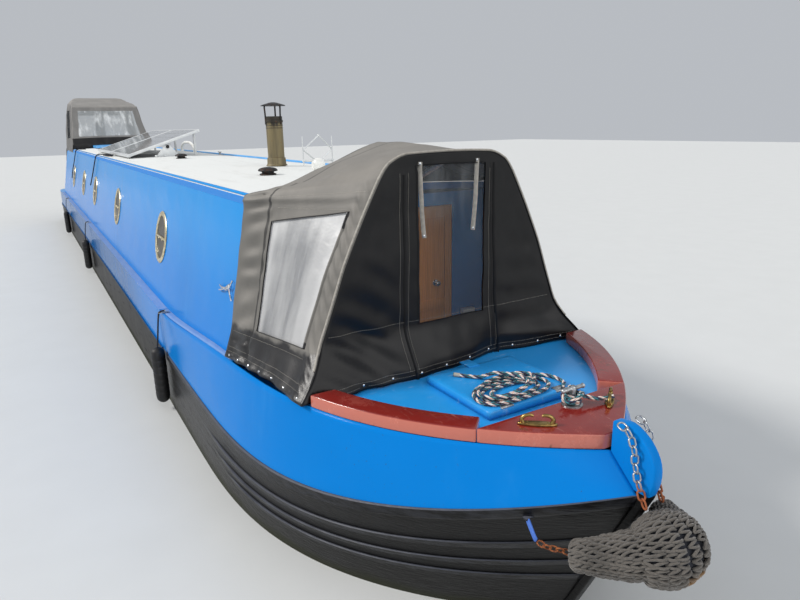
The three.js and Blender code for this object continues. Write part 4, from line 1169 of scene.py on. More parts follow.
class NARROWBOAT_OT_rope(bpy.types.Operator):
    """Lays the spare end of the mooring rope on the lid and makes the rope fast on the stud"""
    bl_idname = "narrowboat.rope"
    bl_label = "Mooring rope"

    def execute(self, context):
        radius = context.scene.narrowboat_sizes.rope / 2
        height = LID_TOP + 0.0095
        route = through([(CABIN_FRONT + x, y, height + layer * 0.019) for x, y, layer in ROPE_LAYS], 12)
        bm = fresh()
        laid_rope(bm, route, radius)
        rope = piece("mooring_rope_strands", bm, ["rope"], "locker_lid", ["mooring_rope"], "mooring_rope", 80)
        bm = fresh()
        end = route[-1]
        back = (route[-3] - end).normalized()
        coil = [end + back * (0.004 + 0.0022 * i / 10) + self.spoke(back, i / 10) * (radius * 1.02)
                for i in range(130)]
        tube(bm, coil, 0.0013, 6)
        whipping = piece("mooring_rope_whipping", bm, ["thread"], "locker_lid", slot="mooring_rope")
        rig.cord(rope, exit=route[0], length=length_of(route), diameter=radius * 2, far_end="bare",
                stiffness="limp", lay="loose", path=evenly(route, 0.01), with_pieces=[whipping])
        self.knot(radius)
        return {"FINISHED"}

    def spoke(self, along, turns):
        side = along.orthogonal().normalized()
        angle = TURN * turns
        return side * math.cos(angle) + along.cross(side) * math.sin(angle)

    def knot(self, radius):
        """Turns round the stud, crossed over each other, with the lead to the port fairlead."""
        bm = fresh()
        base = STUD.z + radius
        turns = []
        for i in range(0, 61):
            angle = math.radians(150) - i / 60 * TURN * 3.4
            reach = 0.026 + 0.006 * math.sin(i * 0.55)
            turns.append((STUD.x + reach * math.cos(angle), STUD.y + reach * 1.15 * math.sin(angle),
                          base + 0.044 * i / 60))
        lead = [(STUD.x + 0.038, STUD.y + 0.034, base + 0.034), (STUD.x + 0.052, STUD.y + 0.072, base + 0.02),
                (STUD.x + 0.062, STUD.y + 0.12, base + 0.013), (STUD.x + 0.069, STUD.y + 0.169, base + 0.011)]
        tail = [(STUD.x - 0.13, STUD.y + 0.118, base - 0.003), (STUD.x - 0.112, STUD.y + 0.1, base + 0.002),
                (STUD.x - 0.078, STUD.y + 0.066, base + 0.007),
                (STUD.x - 0.052, STUD.y + 0.036, base + 0.006)]
        laid_rope(bm, through([*tail, *turns, *lead], 6), radius)
        hitch = []
        for i in range(0, 31):
            angle = math.radians(20) + i / 30 * TURN * 1.5
            hitch.append((STUD.x + 0.034 * math.cos(angle), STUD.y + 0.046 * math.sin(angle),
                          base + 0.03 + 0.014 * math.sin(angle * 2 + 0.6)))
        laid_rope(bm, through(hitch, 6), radius)
        piece("mooring_rope_knot", bm, ["rope"], "root", ["rope_knot"], "mooring_rope", 80)


# Hull
def bow_rows():
    """Rows of the bow topside: level, how proud, finish of the strip below it."""
    rows = [(t, 0.0, 1) for t in lines((0, 1.3, 8))]
    for at, half, _start in BOW_STRAKES:
        low, high = at - half, at + half
        rows += [(low, 0.0, 1), (low, 0.5, 2), (low + half * 0.25, 1.0, 2), (high - half * 0.25, 1.0, 2),
                 (high, 0.5, 2), (high, 0.0, 2)]
        if at < 2:
            rows += [(t, 0.0, 1) for t in ((high + 0.03,) if at < 1.6 else (high + 0.06, high + 0.12))]
    rows += [(t, 0.0, 0) for t in lines((2.09, 3, 12))]
    return [(t, proud, strip, start_of(t)) for t, proud, strip in rows]


def start_of(t):
    """Where along the bow the strake at that level begins."""
    near = min(BOW_STRAKES, key=lambda strake: abs(strake[0] - t))
    return near[2]


class NARROWBOAT_OT_hull(bpy.types.Operator):
    """Makes the bow sides with their strakes and the stem, and paints the rest of the hull"""
    bl_idname = "narrowboat.hull"
    bl_label = "Hull"

    def execute(self, context):
        for side, sign in SIDES:
            self.bow(side, sign)
        self.stem()
        dress({
            "hull_side_port": "hull_side", "hull_side_starboard": "hull_side", "counter": "hull_side",
            "stern_deck": "deck_blue", "base_plate": "hull_black", "uxter_plate": "hull_black",
            "swim": "hull_black",
        })
        return {"FINISHED"}

    def bow(self, side, sign):
        rows = bow_rows()
        across = [math.sin(math.pi / 2 * i / 64) ** 0.9 for i in range(65)]

        def place(u, v):
            t, proud, _strip, start = rows[round(v)]
            if proud:
                share = ease((u - start) / 0.12) if start else 1.0
                proud *= STRAKE_PROUD * share
            point = bow_point(u, t, proud)
            plate = 0.0
            if t > 2.1:
                middle = math.sin(math.pi * clamp01((t - 2.1) / 0.9))
                plate = 0.0016 * ripple(point.x, 0, point.z, 0.42) * middle
            return Vector((point.x, (point.y + plate) * sign, point.z))

        def shut(u, v):
            """Past the last column the plate turns in to the stem bar."""
            point = place(min(u, 1.0), v)
            return Vector((point.x + 0.008, 0.0262 * sign, point.z)) if u > 1 else point

        bm = fresh()
        lattice(bm, [*across, 1.01], list(range(len(rows))), shut, lambda u, v: rows[math.ceil(v)][2])
        made = piece(f"bow_topside_{side}", bm, ["blue_gloss", "hull_black", "strake_black"], "root",
                     [f"bow_side_{side}"], "blue_paint", 28, away_from=(5.5, 0, 0.8))
        thicken(made, 0.012)

        bm = fresh()

        def deck(u, v):
            x = mix(BOW_START, CABIN_FRONT, u)
            inner, outer = lean_at(sheer(x)) - 0.04, top_half(x) - 0.006
            return Vector((x, mix(inner, outer, v) * sign, sheer(x) - 0.0005))

        lattice(bm, lines((0, 1, 14)), lines((0, 1, 3)), deck)
        strip = piece(f"bow_side_deck_{side}", bm, ["hull_side"], slot="blue_paint", away_from=(5.5, 0, 0))
        thicken(strip, 0.0115)
        bm = fresh()
        lug = Vector((CABIN_FRONT + 1.672, 0.322 * sign, WATERLINE + 0.664))
        reach = (lug + Vector((-0.012, -0.03, 0)), lug + Vector((0.012, 0.022, 0.008)))
        add(bm, block(*reach, 0.003))
        piece(f"fender_lug_{side}", bm, ["strake_black"], slot="hull_black")

    def stem(self):
        """The stem: a thick bar, blue above the strakes, its head rounded."""
        foot = -WATERLINE + 0.0123
        head = [(1.955, 0.78), (1.977, 0.86), (1.972, 0.93), (1.94, 0.985), (1.895, 1.022), (1.84, 1.042),
                (1.776, 1.034)]
        back = [(1.776, 0.88), (1.85, 0.78), (1.48, 0), (1.226, foot)]
        line = [(1.336, foot), (1.463, -0.27), (1.59, 0), (1.712, 0.26), (1.833, 0.52)]
        line += [(p.x, p.y) for p in through([(x, z, 0) for x, z in head], 3)]
        outline = [(CABIN_FRONT + x, -0.025, WATERLINE + z) for x, z in line + back]
        part = slab(outline, (0, 0.05, 0), 0.0085, 3)
        bmesh.ops.bisect_plane(part, geom=[*part.verts, *part.edges, *part.faces],
                               plane_co=(0, 0, PAINT_LINE),
                               plane_no=(0, 0, 1))
        for face in part.faces:
            face.material_index = 0 if face.calc_center_median().z > PAINT_LINE else 1
        piece("stem_bar", part, ["blue_gloss", "hull_black"], "root", ["stem"], "blue_paint", 50)


# Bow deck
PLATE_START = CABIN_FRONT + 1.46
CANT_START = CABIN_FRONT + 0.8  # the cover's skirt hides what lies aft of this


def cant_lines():
    """Outer and inner line of the port cant, in plan."""
    outer = [Vector((x, top_half(x), 0)) for x in lines((CANT_START, PLATE_START, 20))]
    inner = []
    for point in outer:
        slope = (top_half(point.x + 0.001) - top_half(point.x - 0.001)) / 0.002
        inward = Vector((slope, -1, 0)).normalized()
        spot = point + inward * 0.115
        spot.x = min(PLATE_START, max(CANT_START, spot.x))
        inner.append(spot)
    return outer, inner


class NARROWBOAT_OT_bow_deck(bpy.types.Operator):
    """Makes the locker lid, the cants, the bow plate and their fittings"""
    bl_idname = "narrowboat.bow_deck"
    bl_label = "Bow deck"

    def execute(self, context):
        dress({"foredeck": "deck_blue", "well_deck": "deck_blue"})
        self.lid()
        self.cants()
        self.fairleads()
        self.stud()
        return {"FINISHED"}

    def lid(self):
        aft, front, half, inset = CABIN_FRONT + 0.86, CABIN_FRONT + 1.34, 0.26, 0.008
        bm = fresh()

        def place(u, v):
            edge = max(abs(u * 2 - 1), abs(v * 2 - 1))
            crown = 0.0022 * (1 - edge ** 4) + 0.0008 * ripple(u * 3, v * 3, 0.5, 0.9)
            return Vector((mix(aft + inset, front - inset, u), mix(-half + inset, half - inset, v),
                           LID_TOP - 0.002 + crown * 0.6))

        top = fresh()
        lattice(top, lines((0, 1, 24)), lines((0, 1, 26)), place)
        rim = [edge for edge in top.edges if edge.is_boundary]
        made = bmesh.ops.extrude_edge_only(top, edges=rim)
        skirt = [item for item in made["geom"] if isinstance(item, bmesh.types.BMVert)]
        for vert in skirt:
            for axis, edge in ((0, aft), (0, front), (1, -half), (1, half)):
                if abs(abs(vert.co[axis] - edge) - inset) < 1e-4:
                    vert.co[axis] = edge
            vert.co.z = LID_TOP - 0.008
        rim = [item for item in made["geom"] if isinstance(item, bmesh.types.BMEdge)]
        made = bmesh.ops.extrude_edge_only(top, edges=rim)
        for vert in [item for item in made["geom"] if isinstance(item, bmesh.types.BMVert)]:
            vert.co.z = DECK_Z + 0.003
        add(bm, top)
        cover = piece("locker_lid_plate", bm, ["deck_blue"], "locker_lid", ["locker_lid"], "deck_paint", 55,
                      away_from=((aft + front) / 2, 0, DECK_Z))
        thicken(cover, 0.006)
        piece("locker_lid_hasp",
              block((aft - 0.05, -0.032, LID_TOP - 0.001), (aft + 0.035, 0.032, LID_TOP + 0.004), 0.0015),
              ["deck_blue"], "locker_lid", slot="deck_paint")
        bm = fresh()
        add(bm, block((aft - 0.024, -0.014, DECK_Z + 0.012), (aft - 0.003, 0.014, LID_TOP - 0.001), 0.002))
        add(bm, rod((aft - 0.012, -0.018, LID_TOP - 0.006), (aft - 0.012, 0.018, LID_TOP - 0.006), 0.004,
                    12, 0.001))
        for y in (-0.16, 0.16):
            pin, height = front - 0.006, LID_TOP - 0.004
            add(bm, rod((pin, y - 0.035, height), (pin, y + 0.035, height), 0.006, 14, 0.001))
            low, high = (front - 0.045, y - 0.03, LID_TOP - 0.001), (pin, y + 0.03, LID_TOP + 0.002)
            add(bm, block(low, high, 0.001))
        piece("locker_lid_fittings", bm, ["galvanised"], "locker_lid", slot="steel")

    def cants(self):
        outer, inner = cant_lines()
        for side, sign in SIDES:
            outline = [(p.x, p.y * sign, DECK_Z + 0.0003) for p in [*outer, *reversed(inner)]]
            piece(f"cant_rail_{side}", slab(outline, (0, 0, 0.0597), 0.007, 3), ["red_oxide"], "root",
                  [f"cant_{side}"], "red_paint", 50)
        start, end = PLATE_START + 0.0003, CABIN_FRONT + 1.766
        line = [(x, top_half(x)) for x in lines((start, end, 22))]
        outline = [(x, y, DECK_Z + 0.0003) for x, y in line]
        outline += [(x, -y, DECK_Z + 0.0003) for x, y in reversed(line)]
        piece("bow_plate_top", slab(outline, (0, 0, 0.0637), 0.006, 3), ["red_oxide"], "root", ["bow_plate"],
              "red_paint", 50)

    def fairleads(self):
        for side, x, y, turn in FAIRLEADS:
            bm = fresh()
            spin = Matrix.Translation((CABIN_FRONT + x, y, PLATE_TOP)) @ Matrix.Rotation(turn, 4, "Z")
            base = [(0.078 * math.cos(a), 0.019 * math.sin(a), 0)
                    for a in [TURN * i / 28 for i in range(28)]]
            add(bm, slab(base, (0, 0, 0.01), 0.0025), spin)
            for s in (1, -1):
                horn = fresh()
                line = through([(s * 0.056, 0, 0.006), (s * 0.061, 0, 0.024), (s * 0.049, 0, 0.038),
                                (s * 0.029, 0, 0.042), (s * 0.017, 0, 0.038)], 6)
                tube(horn, line, lambda share: 0.0095 - 0.004 * share, 12)
                add(bm, horn, spin)
                add(bm, ball((s * 0.04, 0.0105, 0.0102), 0.0042, (1, 1, 0.4), 6), spin)
                add(bm, ball((s * 0.04, -0.0105, 0.0102), 0.0042, (1, 1, 0.4), 6), spin)
            piece(f"fairlead_horns_{side}", bm, ["bronze"], "root", [f"fairlead_{side}"], "bronze", 50)

    def stud(self):
        bm = fresh()
        foot = [(0, 0), (0.045, 0), (0.045, 0.004), (0.042, 0.0062), (0.02, 0.009), (0.0145, 0.016),
                (0.014, 0.06), (0.014, 0.076), (0.012, 0.083), (0.006, 0.0865), (0, 0.087)]
        add(bm, turned(foot, 32), Matrix.Translation(STUD))
        bar = STUD + Vector((0, 0, 0.072))
        add(bm, rod(bar - Vector((0, 0.056, 0)), bar + Vector((0, 0.056, 0)), 0.0088, 18, 0.002))
        for s in (1, -1):
            add(bm, ball(bar + Vector((0, 0.057 * s, 0)), 0.0112, (1, 0.8, 1), 8))
        piece("mooring_stud_post", bm, ["galvanised"], "root", ["mooring_stud"], "steel", 40)


# Bow fender
def fender_at(x, y, z):
    return Vector((CABIN_FRONT + x, y, WATERLINE + z))


FENDER_LINE = through([fender_at(*place) for place in (
    (1.822, -0.262, 0.571), (1.9, -0.2, 0.588), (1.985, -0.11, 0.612), (2.04, 0, 0.63), (1.985, 0.11, 0.612),
    (1.9, 0.2, 0.588), (1.822, 0.262, 0.571))], 14)


def fender_radius(share):
    """The fender is a fat ball in the middle with an arm each side."""
    away = abs(share - 0.5) * 2
    arm = mix(0.088, 0.052, ease((away - 0.2) / 0.8))
    middle = 0.128 * math.sqrt(max(0.0, 1 - (away / 0.42) ** 2)) if away < 0.42 else 0
    tip = math.sqrt(max(0.0, 1 - ((away - 0.9) / 0.1) ** 2)) if away > 0.9 else 1.0
    return max(middle, arm) * tip


class NARROWBOAT_OT_bow_fender(bpy.types.Operator):
    """Knits the rope fender and hangs it on its chains"""
    bl_idname = "narrowboat.bow_fender"
    bl_label = "Bow fender"

    def execute(self, context):
        points = evenly(FENDER_LINE, 0.006)
        bm = fresh()
        tube(bm, points, lambda share: max(0.001, fender_radius(share) - 0.012), 28)
        piece("bow_fender_core", bm, ["dark_cord"], "root", ["bow_fender"], "fender_rope", 80)
        self.knit(points, context.scene.narrowboat_sizes.stitch)
        self.chains()
        return {"FINISHED"}

    def knit(self, points, stitch):
        """Rows of V-shaped stitches round the fender."""
        unit = fresh()
        for s in (1, -1):
            line = through([(0, 0, -0.62), (s * 0.16, 0.2, -0.34), (s * 0.34, 0.26, 0.1),
                            (s * 0.36, 0.1, 0.52), (s * 0.24, -0.1, 0.66)], 2)
            tube(unit, line, lambda share: 0.19 * math.sin(math.pi * mix(0.18, 0.9, share)) ** 0.5, 6)
        ways = across_path(points)
        total = length_of(points)
        rows = round(total / (stitch * 0.62))
        matrices = []
        for row in range(1, rows):
            share = row / rows
            at = round(share * (len(points) - 1))
            radius = fender_radius(share)
            along = (points[min(at + 1, len(points) - 1)] - points[max(at - 1, 0)]).normalized()
            ahead, behind = fender_radius(min(1, share + 0.01)), fender_radius(max(0, share - 0.01))
            slope = (ahead - behind) / (total * 0.02)
            count = max(5, round(TURN * radius / (stitch * 0.78)))
            side, up = ways[at]
            for k in range(count):
                angle = TURN * (k + 0.5 * (row % 2)) / count
                out = side * math.cos(angle) + up * math.sin(angle)
                grow = (along + out * max(-2.0, min(2.0, slope))).normalized()
                lift = (out - grow * out.dot(grow)).normalized()
                width = TURN * radius / count
                turn = axes(grow.cross(lift) * -width, lift * stitch, grow * stitch)
                uneven = ripple(k * 1.7, row * 2.3, 4.1, 1.0)
                spot = Matrix.Translation(points[at] + out * (radius - 0.009 + 0.006 * uneven))
                matrices.append(spot @ turn @ Matrix.Rotation(0.5 * uneven, 4, "Y"))
        bm = fresh()
        scatter(bm, unit, matrices)
        piece("bow_fender_knit", bm, ["fender_rope"], slot="fender_rope", sharp=80)

    def chains(self):
        for side, s in SIDES:
            bm = fresh()
            head = [fender_at(1.83, s * 0.05, 1.05), fender_at(1.872, s * 0.05, 1.03),
                    fender_at(1.897, s * 0.046, 0.98), fender_at(1.914, s * 0.046, 0.9),
                    fender_at(1.938, s * 0.046, 0.832), fender_at(1.968, s * 0.046, 0.77)]
            chain(bm, head, 0.046, 0.0075)
            piece(f"fender_chain_links_{side}", bm, ["chain"], "root", [f"fender_chain_{side}"], "steel", 80)
            bm = fresh()
            stay = [fender_at(1.742, s * 0.342, 0.606), fender_at(1.77, s * 0.325, 0.596),
                    fender_at(1.806, s * 0.285, 0.587), fender_at(1.826, s * 0.262, 0.58)]
            chain(bm, stay, 0.036, 0.0065)
            piece(f"fender_stay_links_{side}", bm, ["rust"], slot="steel", sharp=80)
            bm = fresh()
            eye = fender_at(1.676, s * 0.335, 0.66)
            shackle = fender_at(1.733, s * 0.347, 0.612)
            tie = []
            for i in range(0, 41):
                angle = TURN * i / 40 * 2.5
                share = 0.5 - 0.5 * math.cos(angle)
                loop = Vector((0, 0.006 * s, 0.011)) * math.sin(angle)
                drift = loop + Vector((0.002, 0, 0.003)) * (i / 10 - 2)
                tie.append(eye.lerp(shackle, share) + drift)
            tube(bm, through(tie, 3), 0.005, 8)
            piece(f"fender_tie_{side}", bm, ["blue_cord"], slot="fender_rope", sharp=80)


# Cratch cover
COVER_FRONT = CABIN_FRONT + 0.686
COVER_REAR = CABIN_FRONT - 0.04
FRONT_ROWS = ((0.862, 0.92), (0.763, 1.06), (0.663, 1.3), (0.586, 1.5), (0.49, 1.7), (0.393, 1.88),
              (0.34, 1.95), (0.25, 1.988), (0, 1.995))
REAR_ROWS = ((0.985, 0.92), (0.945, 1.06), (0.898, 1.3), (0.858, 1.5), (0.82, 1.7), (0.8, 1.786),
             (0.6, 1.817), (0.33, 1.915), (0, 2.03))


def row_at(rows, s, straight=0.45):
    """Half-width and height at row s, from 0 at the hem to the ridge, smooth between the rows."""
    last = len(rows) - 1
    low = min(last - 1, int(s))
    after = rows[low + 2] if low + 2 <= last else (-rows[last - 1][0], rows[last - 1][1])
    a, b, c, d = (Vector(row) for row in (rows[max(0, low - 1)], rows[low], rows[low + 1], after))
    return curve_point(a, b, c, d, s - low).lerp(b.lerp(c, s - low), straight)


FRONT_EDGE = [row_at(FRONT_ROWS, s) for s in lines((0, 6, 90))]
SKIRT_FLARE = ((-1.0, 0.1), (-0.342, 0.104), (-0.066, 0.093), (0.303, 0.025), (0.64, 0.08), (1.0, 0.09))


def skirt_flare(y, z):
    """How far the skirt of the front panel stands forward over the deck."""
    amount = 0.0
    for (y0, out0), (y1, out1) in zip(SKIRT_FLARE, SKIRT_FLARE[1:]):
        if y0 <= y <= y1:
            amount = mix(out0, out1, ease((y - y0) / (y1 - y0)))
    return amount * ease((1.17 - z) / 0.25)


def skirt_spread(z):
    """How far the skirt stands out sideways at the front corners."""
    return 0.02 * ease((1.17 - z) / 0.25)


def cover_point(t, s, sign):
    """A place on the cover: t from its front (0) to its rear (1), s from the hem (0) to the ridge (8)."""
    y, z = row_at(FRONT_ROWS, s).lerp(row_at(REAR_ROWS, s), t)
    corner = 1 - ease(t / 0.4)
    x = mix(COVER_FRONT, COVER_REAR, t) + skirt_flare(0.9 * sign, z) * corner
    y += skirt_spread(z) * corner
    z += 0.015 * math.sin(math.pi * t) * ease((z - 1.86) / 0.08)
    return Vector((x, y * sign, WATERLINE + z))


def cover_out(t, s, sign):
    """The direction out of the cover at that place."""
    along = cover_point(min(1, t + 0.01), s, sign) - cover_point(max(0, t - 0.01), s, sign)
    up = cover_point(t, min(8, s + 0.05), sign) - cover_point(t, max(0, s - 0.05), sign)
    out = along.cross(up).normalized()
    if out.dot(Vector((0, sign, 0.6))) < 0:
        out.negate()
    return out


SIDE_WINDOW = (0.135, 0.695, 1.22, 4.0)  # on the side: from t, to t, from s, to s
PANE = (-0.387, 0.42, 0.225, 0.948)  # on the front: from a, to a, from v, to v


def border_of(window, steps_across, steps_up):
    """Places round a window: up one edge, along its top, down the other and back."""
    low, high, foot, top = window
    up, along = lines((foot, top, steps_up)), lines((low, high, steps_across))
    return ([(low, v) for v in up] + [(u, top) for u in along[1:]] + [(high, v) for v in up[-2::-1]]
            + [(u, foot) for u in along[-2::-1]])


def window_warp(t, s):
    """Moves the grid's lines onto the side window's own edges, which lean."""
    fore, aft, foot, top = SIDE_WINDOW
    high = clamp01((s - foot) / (top - foot))
    near = clamp01(1 - abs(t - fore) / 0.13) if t < fore else clamp01(1 - (t - fore) / (aft - fore))
    far = clamp01((t - fore) / (aft - fore)) if t < aft else clamp01(1 - (t - aft) / 0.3)
    t += near * mix(0.015, -0.015, high) + far * mix(-0.025, 0.025, high)
    inside = clamp01((s - 0.4) / 0.8) * clamp01((7.6 - s) / 3.6)
    s += inside * high * mix(0.2, -0.2, clamp01((t - 0.12) / 0.6))
    return t, s


def side_window(t, s):
    fore, aft, foot, top = SIDE_WINDOW
    return fore < t < aft and foot < s < top


def side_folds(t, s, sign):
    """How far the canvas stands out: gathers beside the window, a rolled hem, sagging folds."""
    deep = bpy.context.scene.narrowboat_sizes.wrinkle
    ruched = clamp01(1 - abs(t - 0.075) / 0.055) * clamp01((5.2 - s) / 0.6) * clamp01(s / 0.4)
    out = ruched * 0.0085 * math.sin(s * 17 + 3 * math.sin(t * 40)) + ruched * 0.006
    aft = clamp01(1 - abs(t - 0.85) / 0.14) * clamp01((6.4 - s) / 0.8) * clamp01(s / 0.3)
    out += aft * 0.009 * math.sin(s * 11 + 9 * t + 2 * ripple(t, s, sign, 0.6))
    laced = math.exp(-((t - 0.745 - 0.012 * math.sin(s * 9)) / 0.012) ** 2) * clamp01((4.6 - s) / 0.4)
    out -= laced * 0.007 * clamp01(s / 0.4)
    seam = math.exp(-((s - 4.55) / 0.09) ** 2) - 0.6 * math.exp(-((s - 4.42) / 0.06) ** 2)
    out += seam * 0.004
    out += 0.006 * ripple(t * 2, s * 0.7, sign * 3.1, 0.5) * clamp01(s / 0.5)
    skirt = clamp01((1.15 - s) / 1.1)
    out += skirt * (0.006 * math.sin(t * 34 + sign) + 0.008 * ripple(t * 3, s, sign * 7.3, 0.7))
    hem = math.exp(-((s - 0.1) / 0.08) ** 2)
    return (out + hem * 0.003) * deep * ease(t / 0.035)


def on_cover(t, s, sign, lift=0.0):
    """A place on the cover's folded canvas, or `lift` above it."""
    return cover_point(t, s, sign) + cover_out(t, s, sign) * (side_folds(t, s, sign) + lift)


class NARROWBOAT_OT_cratch_cover(bpy.types.Operator):
    """Sews the cratch cover: sides and top, front panel, windows, piping, straps and zips"""
    bl_idname = "narrowboat.cratch_cover"
    bl_label = "Cratch cover"

    def execute(self, context):
        thickness = context.scene.narrowboat_sizes.canvas
        self.top(thickness)
        self.front(thickness)
        self.rear(thickness)
        self.piping()
        self.fittings()
        self.stitches()
        return {"FINISHED"}

    def rear(self, thickness):
        """The strip that closes the cover's rear arch down to the roof."""

        def place(a, v):
            top = row_at(REAR_ROWS, 8 - 3 * abs(a))
            y = math.copysign(top.x, a)
            low = roof_z(min(abs(y), 0.765)) + 0.002
            fold = 0.004 * ripple(y, v, 1.7, 0.2) * math.sin(math.pi * v)
            return Vector((COVER_REAR + 0.004 + fold, y, mix(low, WATERLINE + top.y - 0.001, v)))

        bm = fresh()
        lattice(bm, lines((-1, 1, 60)), lines((0, 1, 6)), place)
        sheet = piece("cratch_cover_rear", bm, ["canvas"], slot="cover_cloth", sharp=75,
                      away_from=(7.2, 0, 2.3))
        thicken(sheet, thickness)
        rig.sheet(sheet, flat=(1.62, 0.26), area=0.19, held="stretched", rests_on=["roof"])

    def stitches(self):
        """Pale stitch rows along the hems, the zips, the window borders and the top seams."""
        rows = []
        for z in (0.936, 0.958, 1.176):
            reach = self.front_half(z) - 0.03
            rows.append(self.front_line([(y, z) for y in lines((-reach, reach, 12))], 0.0022))
        for y in (-0.287, -0.24, 0.241, 0.277):
            rows.append(self.front_line([(y, 1.9), (y * 1.02, 1.5), (y * 1.06, 0.95)], 0.0026))
        for sign in (-1, 1):
            for s, start, end in ((0.32, 0.02, 0.98), (0.5, 0.02, 0.98), (1.04, 0.15, 0.98),
                                  (4.24, 0.12, 0.7), (4.7, 0.04, 0.96)):
                rows.append([on_cover(t, s, sign, 0.0008) for t in lines((start, end, 60))])
        dash = block((-0.0004, -0.0004, -0.003), (0.0004, 0.0004, 0.003), 0.0)
        places = []
        for row in rows:
            points = evenly(row, 0.0105)
            places += [pointing(b - a, a) for a, b in zip(points, points[1:])]
        bm = fresh()
        scatter(bm, dash, places)
        piece("cratch_cover_stitches", bm, ["thread"], slot="cover_cloth")

    def top(self, thickness):
        """Sides and top in one sheet, from the starboard hem over the ridge to the port hem."""
        fore, aft, foot, top = SIDE_WINDOW
        ts = lines((0, fore, 9), (fore, aft, 20), (aft, 1, 16))
        half = lines((0, foot, 14), (foot, top, 34), (top, 5.4, 16), (5.4, 8, 16))
        across = [*half, *[16 - s for s in reversed(half[:-1])]]

        def place(t, v):
            sign = -1 if v <= 8 else 1
            t, s = window_warp(t, min(v, 16 - v))
            return on_cover(t, s, sign)

        bm = fresh()
        lattice(bm, ts, across, place, lambda t, v: 1 if side_window(t, min(v, 16 - v)) else 0)
        sheet = piece("cratch_cover_top", bm, ["canvas", "milky_vinyl"], "root", ["cratch_cover"],
                      "cover_cloth",
                      75, away_from=(6.9, 0, 1.6))
        thicken(sheet, thickness)
        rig.sheet(sheet, flat=(0.75, 3.35), held="stretched", rests_on=["cratch_frame", "roof"])

    def front_half(self, z):
        """Half-width of the front panel at a height above the waterline, on the side sheet's own edge."""
        for a, b in zip(FRONT_EDGE, FRONT_EDGE[1:]):
            if z <= b.y:
                return mix(a.x, b.x, clamp01((z - a.y) / (b.y - a.y)))
        return FRONT_EDGE[-1].x

    def front_hem(self, y):
        """Height of the front panel's lower edge above the waterline: it lies on the deck."""
        return 0.918 + 0.003 * math.sin(y * 9 + 0.6) * (1 - ease((abs(y) - 0.6) / 0.2))

    def front_place(self, a, v):
        """A place on the front panel: a from starboard (-1) to port (1), v from hem (0) to top (1)."""
        arch = row_at(FRONT_ROWS, mix(8, 6, clamp01(abs(a))))
        half = straight = 0.5 * abs(a)
        if abs(a) > 0.5:
            share = (abs(a) - 0.5) * 2
            z = mix(self.front_hem(0.86 * a), arch.y, v)
            half = mix(0.25, self.front_half(z) + skirt_spread(z), share)
            straight = mix(0.25, FRONT_EDGE[-1].x, share)
        y = math.copysign(half + (arch.x - straight) * ease((v - 0.9) / 0.1), a)
        return y, mix(self.front_hem(y), arch.y, v)

    def front_folds(self, y, z, v):
        deep = bpy.context.scene.narrowboat_sizes.wrinkle
        out = 0.011 * ripple(y, z, 2.2, 0.24) + 0.004 * ripple(y, z, 5.5, 0.09)
        low = clamp01((1.12 - z) / 0.24)
        centre = clamp01(1 - abs(y) / 0.27)
        out += low * (1 - centre) * 0.007 * math.sin(y * 17 + 7 * z)
        slant = math.sin((y * 0.8 + z * 1.25) * 34 + 2 * ripple(y, z, 8, 0.3))
        out += 0.008 * slant * clamp01((-0.28 - y) / 0.12) * clamp01((1.6 - z) / 0.3)
        out += 0.005 * math.sin(z * 44 + 3 * y) * clamp01((y - 0.28) / 0.1) * clamp01((1.6 - z) / 0.3)
        seam = math.exp(-((z - 0.955 - 0.05 * clamp01(y + 0.64)) / 0.008) ** 2)
        out += 0.003 * seam * clamp01(v / 0.05)
        hem = math.exp(-(v / 0.02) ** 2)
        edge = clamp01((abs(y) / max(0.1, self.front_half(z)) - 0.86) / 0.14)
        out = (out * (1 - edge) * (1 - ease((v - 0.93) / 0.07)) + hem * 0.003) * deep
        return out + skirt_flare(y, z)

    def front(self, thickness):
        low, high, foot, top = PANE
        across = lines((-1, -0.5, 22), (-0.5, low, 4), (low, high, 26), (high, 0.5, 3), (0.5, 1, 22))
        upward = lines((0, 0.02, 2), (0.02, foot, 14), (foot, top, 46), (top, 1, 5))

        def place(a, v):
            y, z = self.front_place(a, v)
            return Vector((COVER_FRONT - 0.004 + self.front_folds(y, z, v), y, WATERLINE + z))

        def window(a, v):
            return 1 if low < a < high and foot < v < top else 0

        bm = fresh()
        lattice(bm, across, upward, place, window)
        sheet = piece("cratch_cover_front", bm, ["canvas_front", "clear_vinyl"], "root", slot="cover_cloth",
                      sharp=75, away_from=(5, 0, 2))
        thicken(sheet, thickness)
        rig.sheet(sheet, flat=(1.75, 1.13), area=1.32, held="hung", rests_on=["cratch_frame"])

    def piping(self):
        """Pale piping round the front edge, and the borders of the windows."""
        bm = fresh()
        ring = []
        for sign, rows in ((-1, lines((0.9, 8, 60))), (1, lines((8, 0.9, 60))[1:])):
            for s in rows:
                ring.append(cover_point(0.012, s, sign) + cover_out(0.012, s, sign) * 0.004)
        tube(bm, ring, 0.0052, 8)
        piece("cratch_cover_piping", bm, ["piping"], slot="cover_cloth", sharp=80)
        bm = fresh()
        for sign in (-1, 1):
            border = []
            for t, s in border_of(SIDE_WINDOW, 20, 30):
                t, s = window_warp(t, s)
                border.append(on_cover(t, s, sign, 0.0014))
            tube(bm, border, 0.009, 8, flat=0.22)
        piece("cratch_cover_side_borders", bm, ["canvas"], slot="cover_cloth", sharp=80)
        bm = fresh()
        border = []
        for a, v in border_of(PANE, 24, 40):
            y, z = self.front_place(a, v)
            border.append(Vector((COVER_FRONT - 0.0025 + self.front_folds(y, z, v), y, WATERLINE + z)))
        tube(bm, border, 0.008, 8, flat=0.22)
        piece("cratch_cover_front_border", bm, ["canvas_front"], slot="cover_cloth", sharp=80)

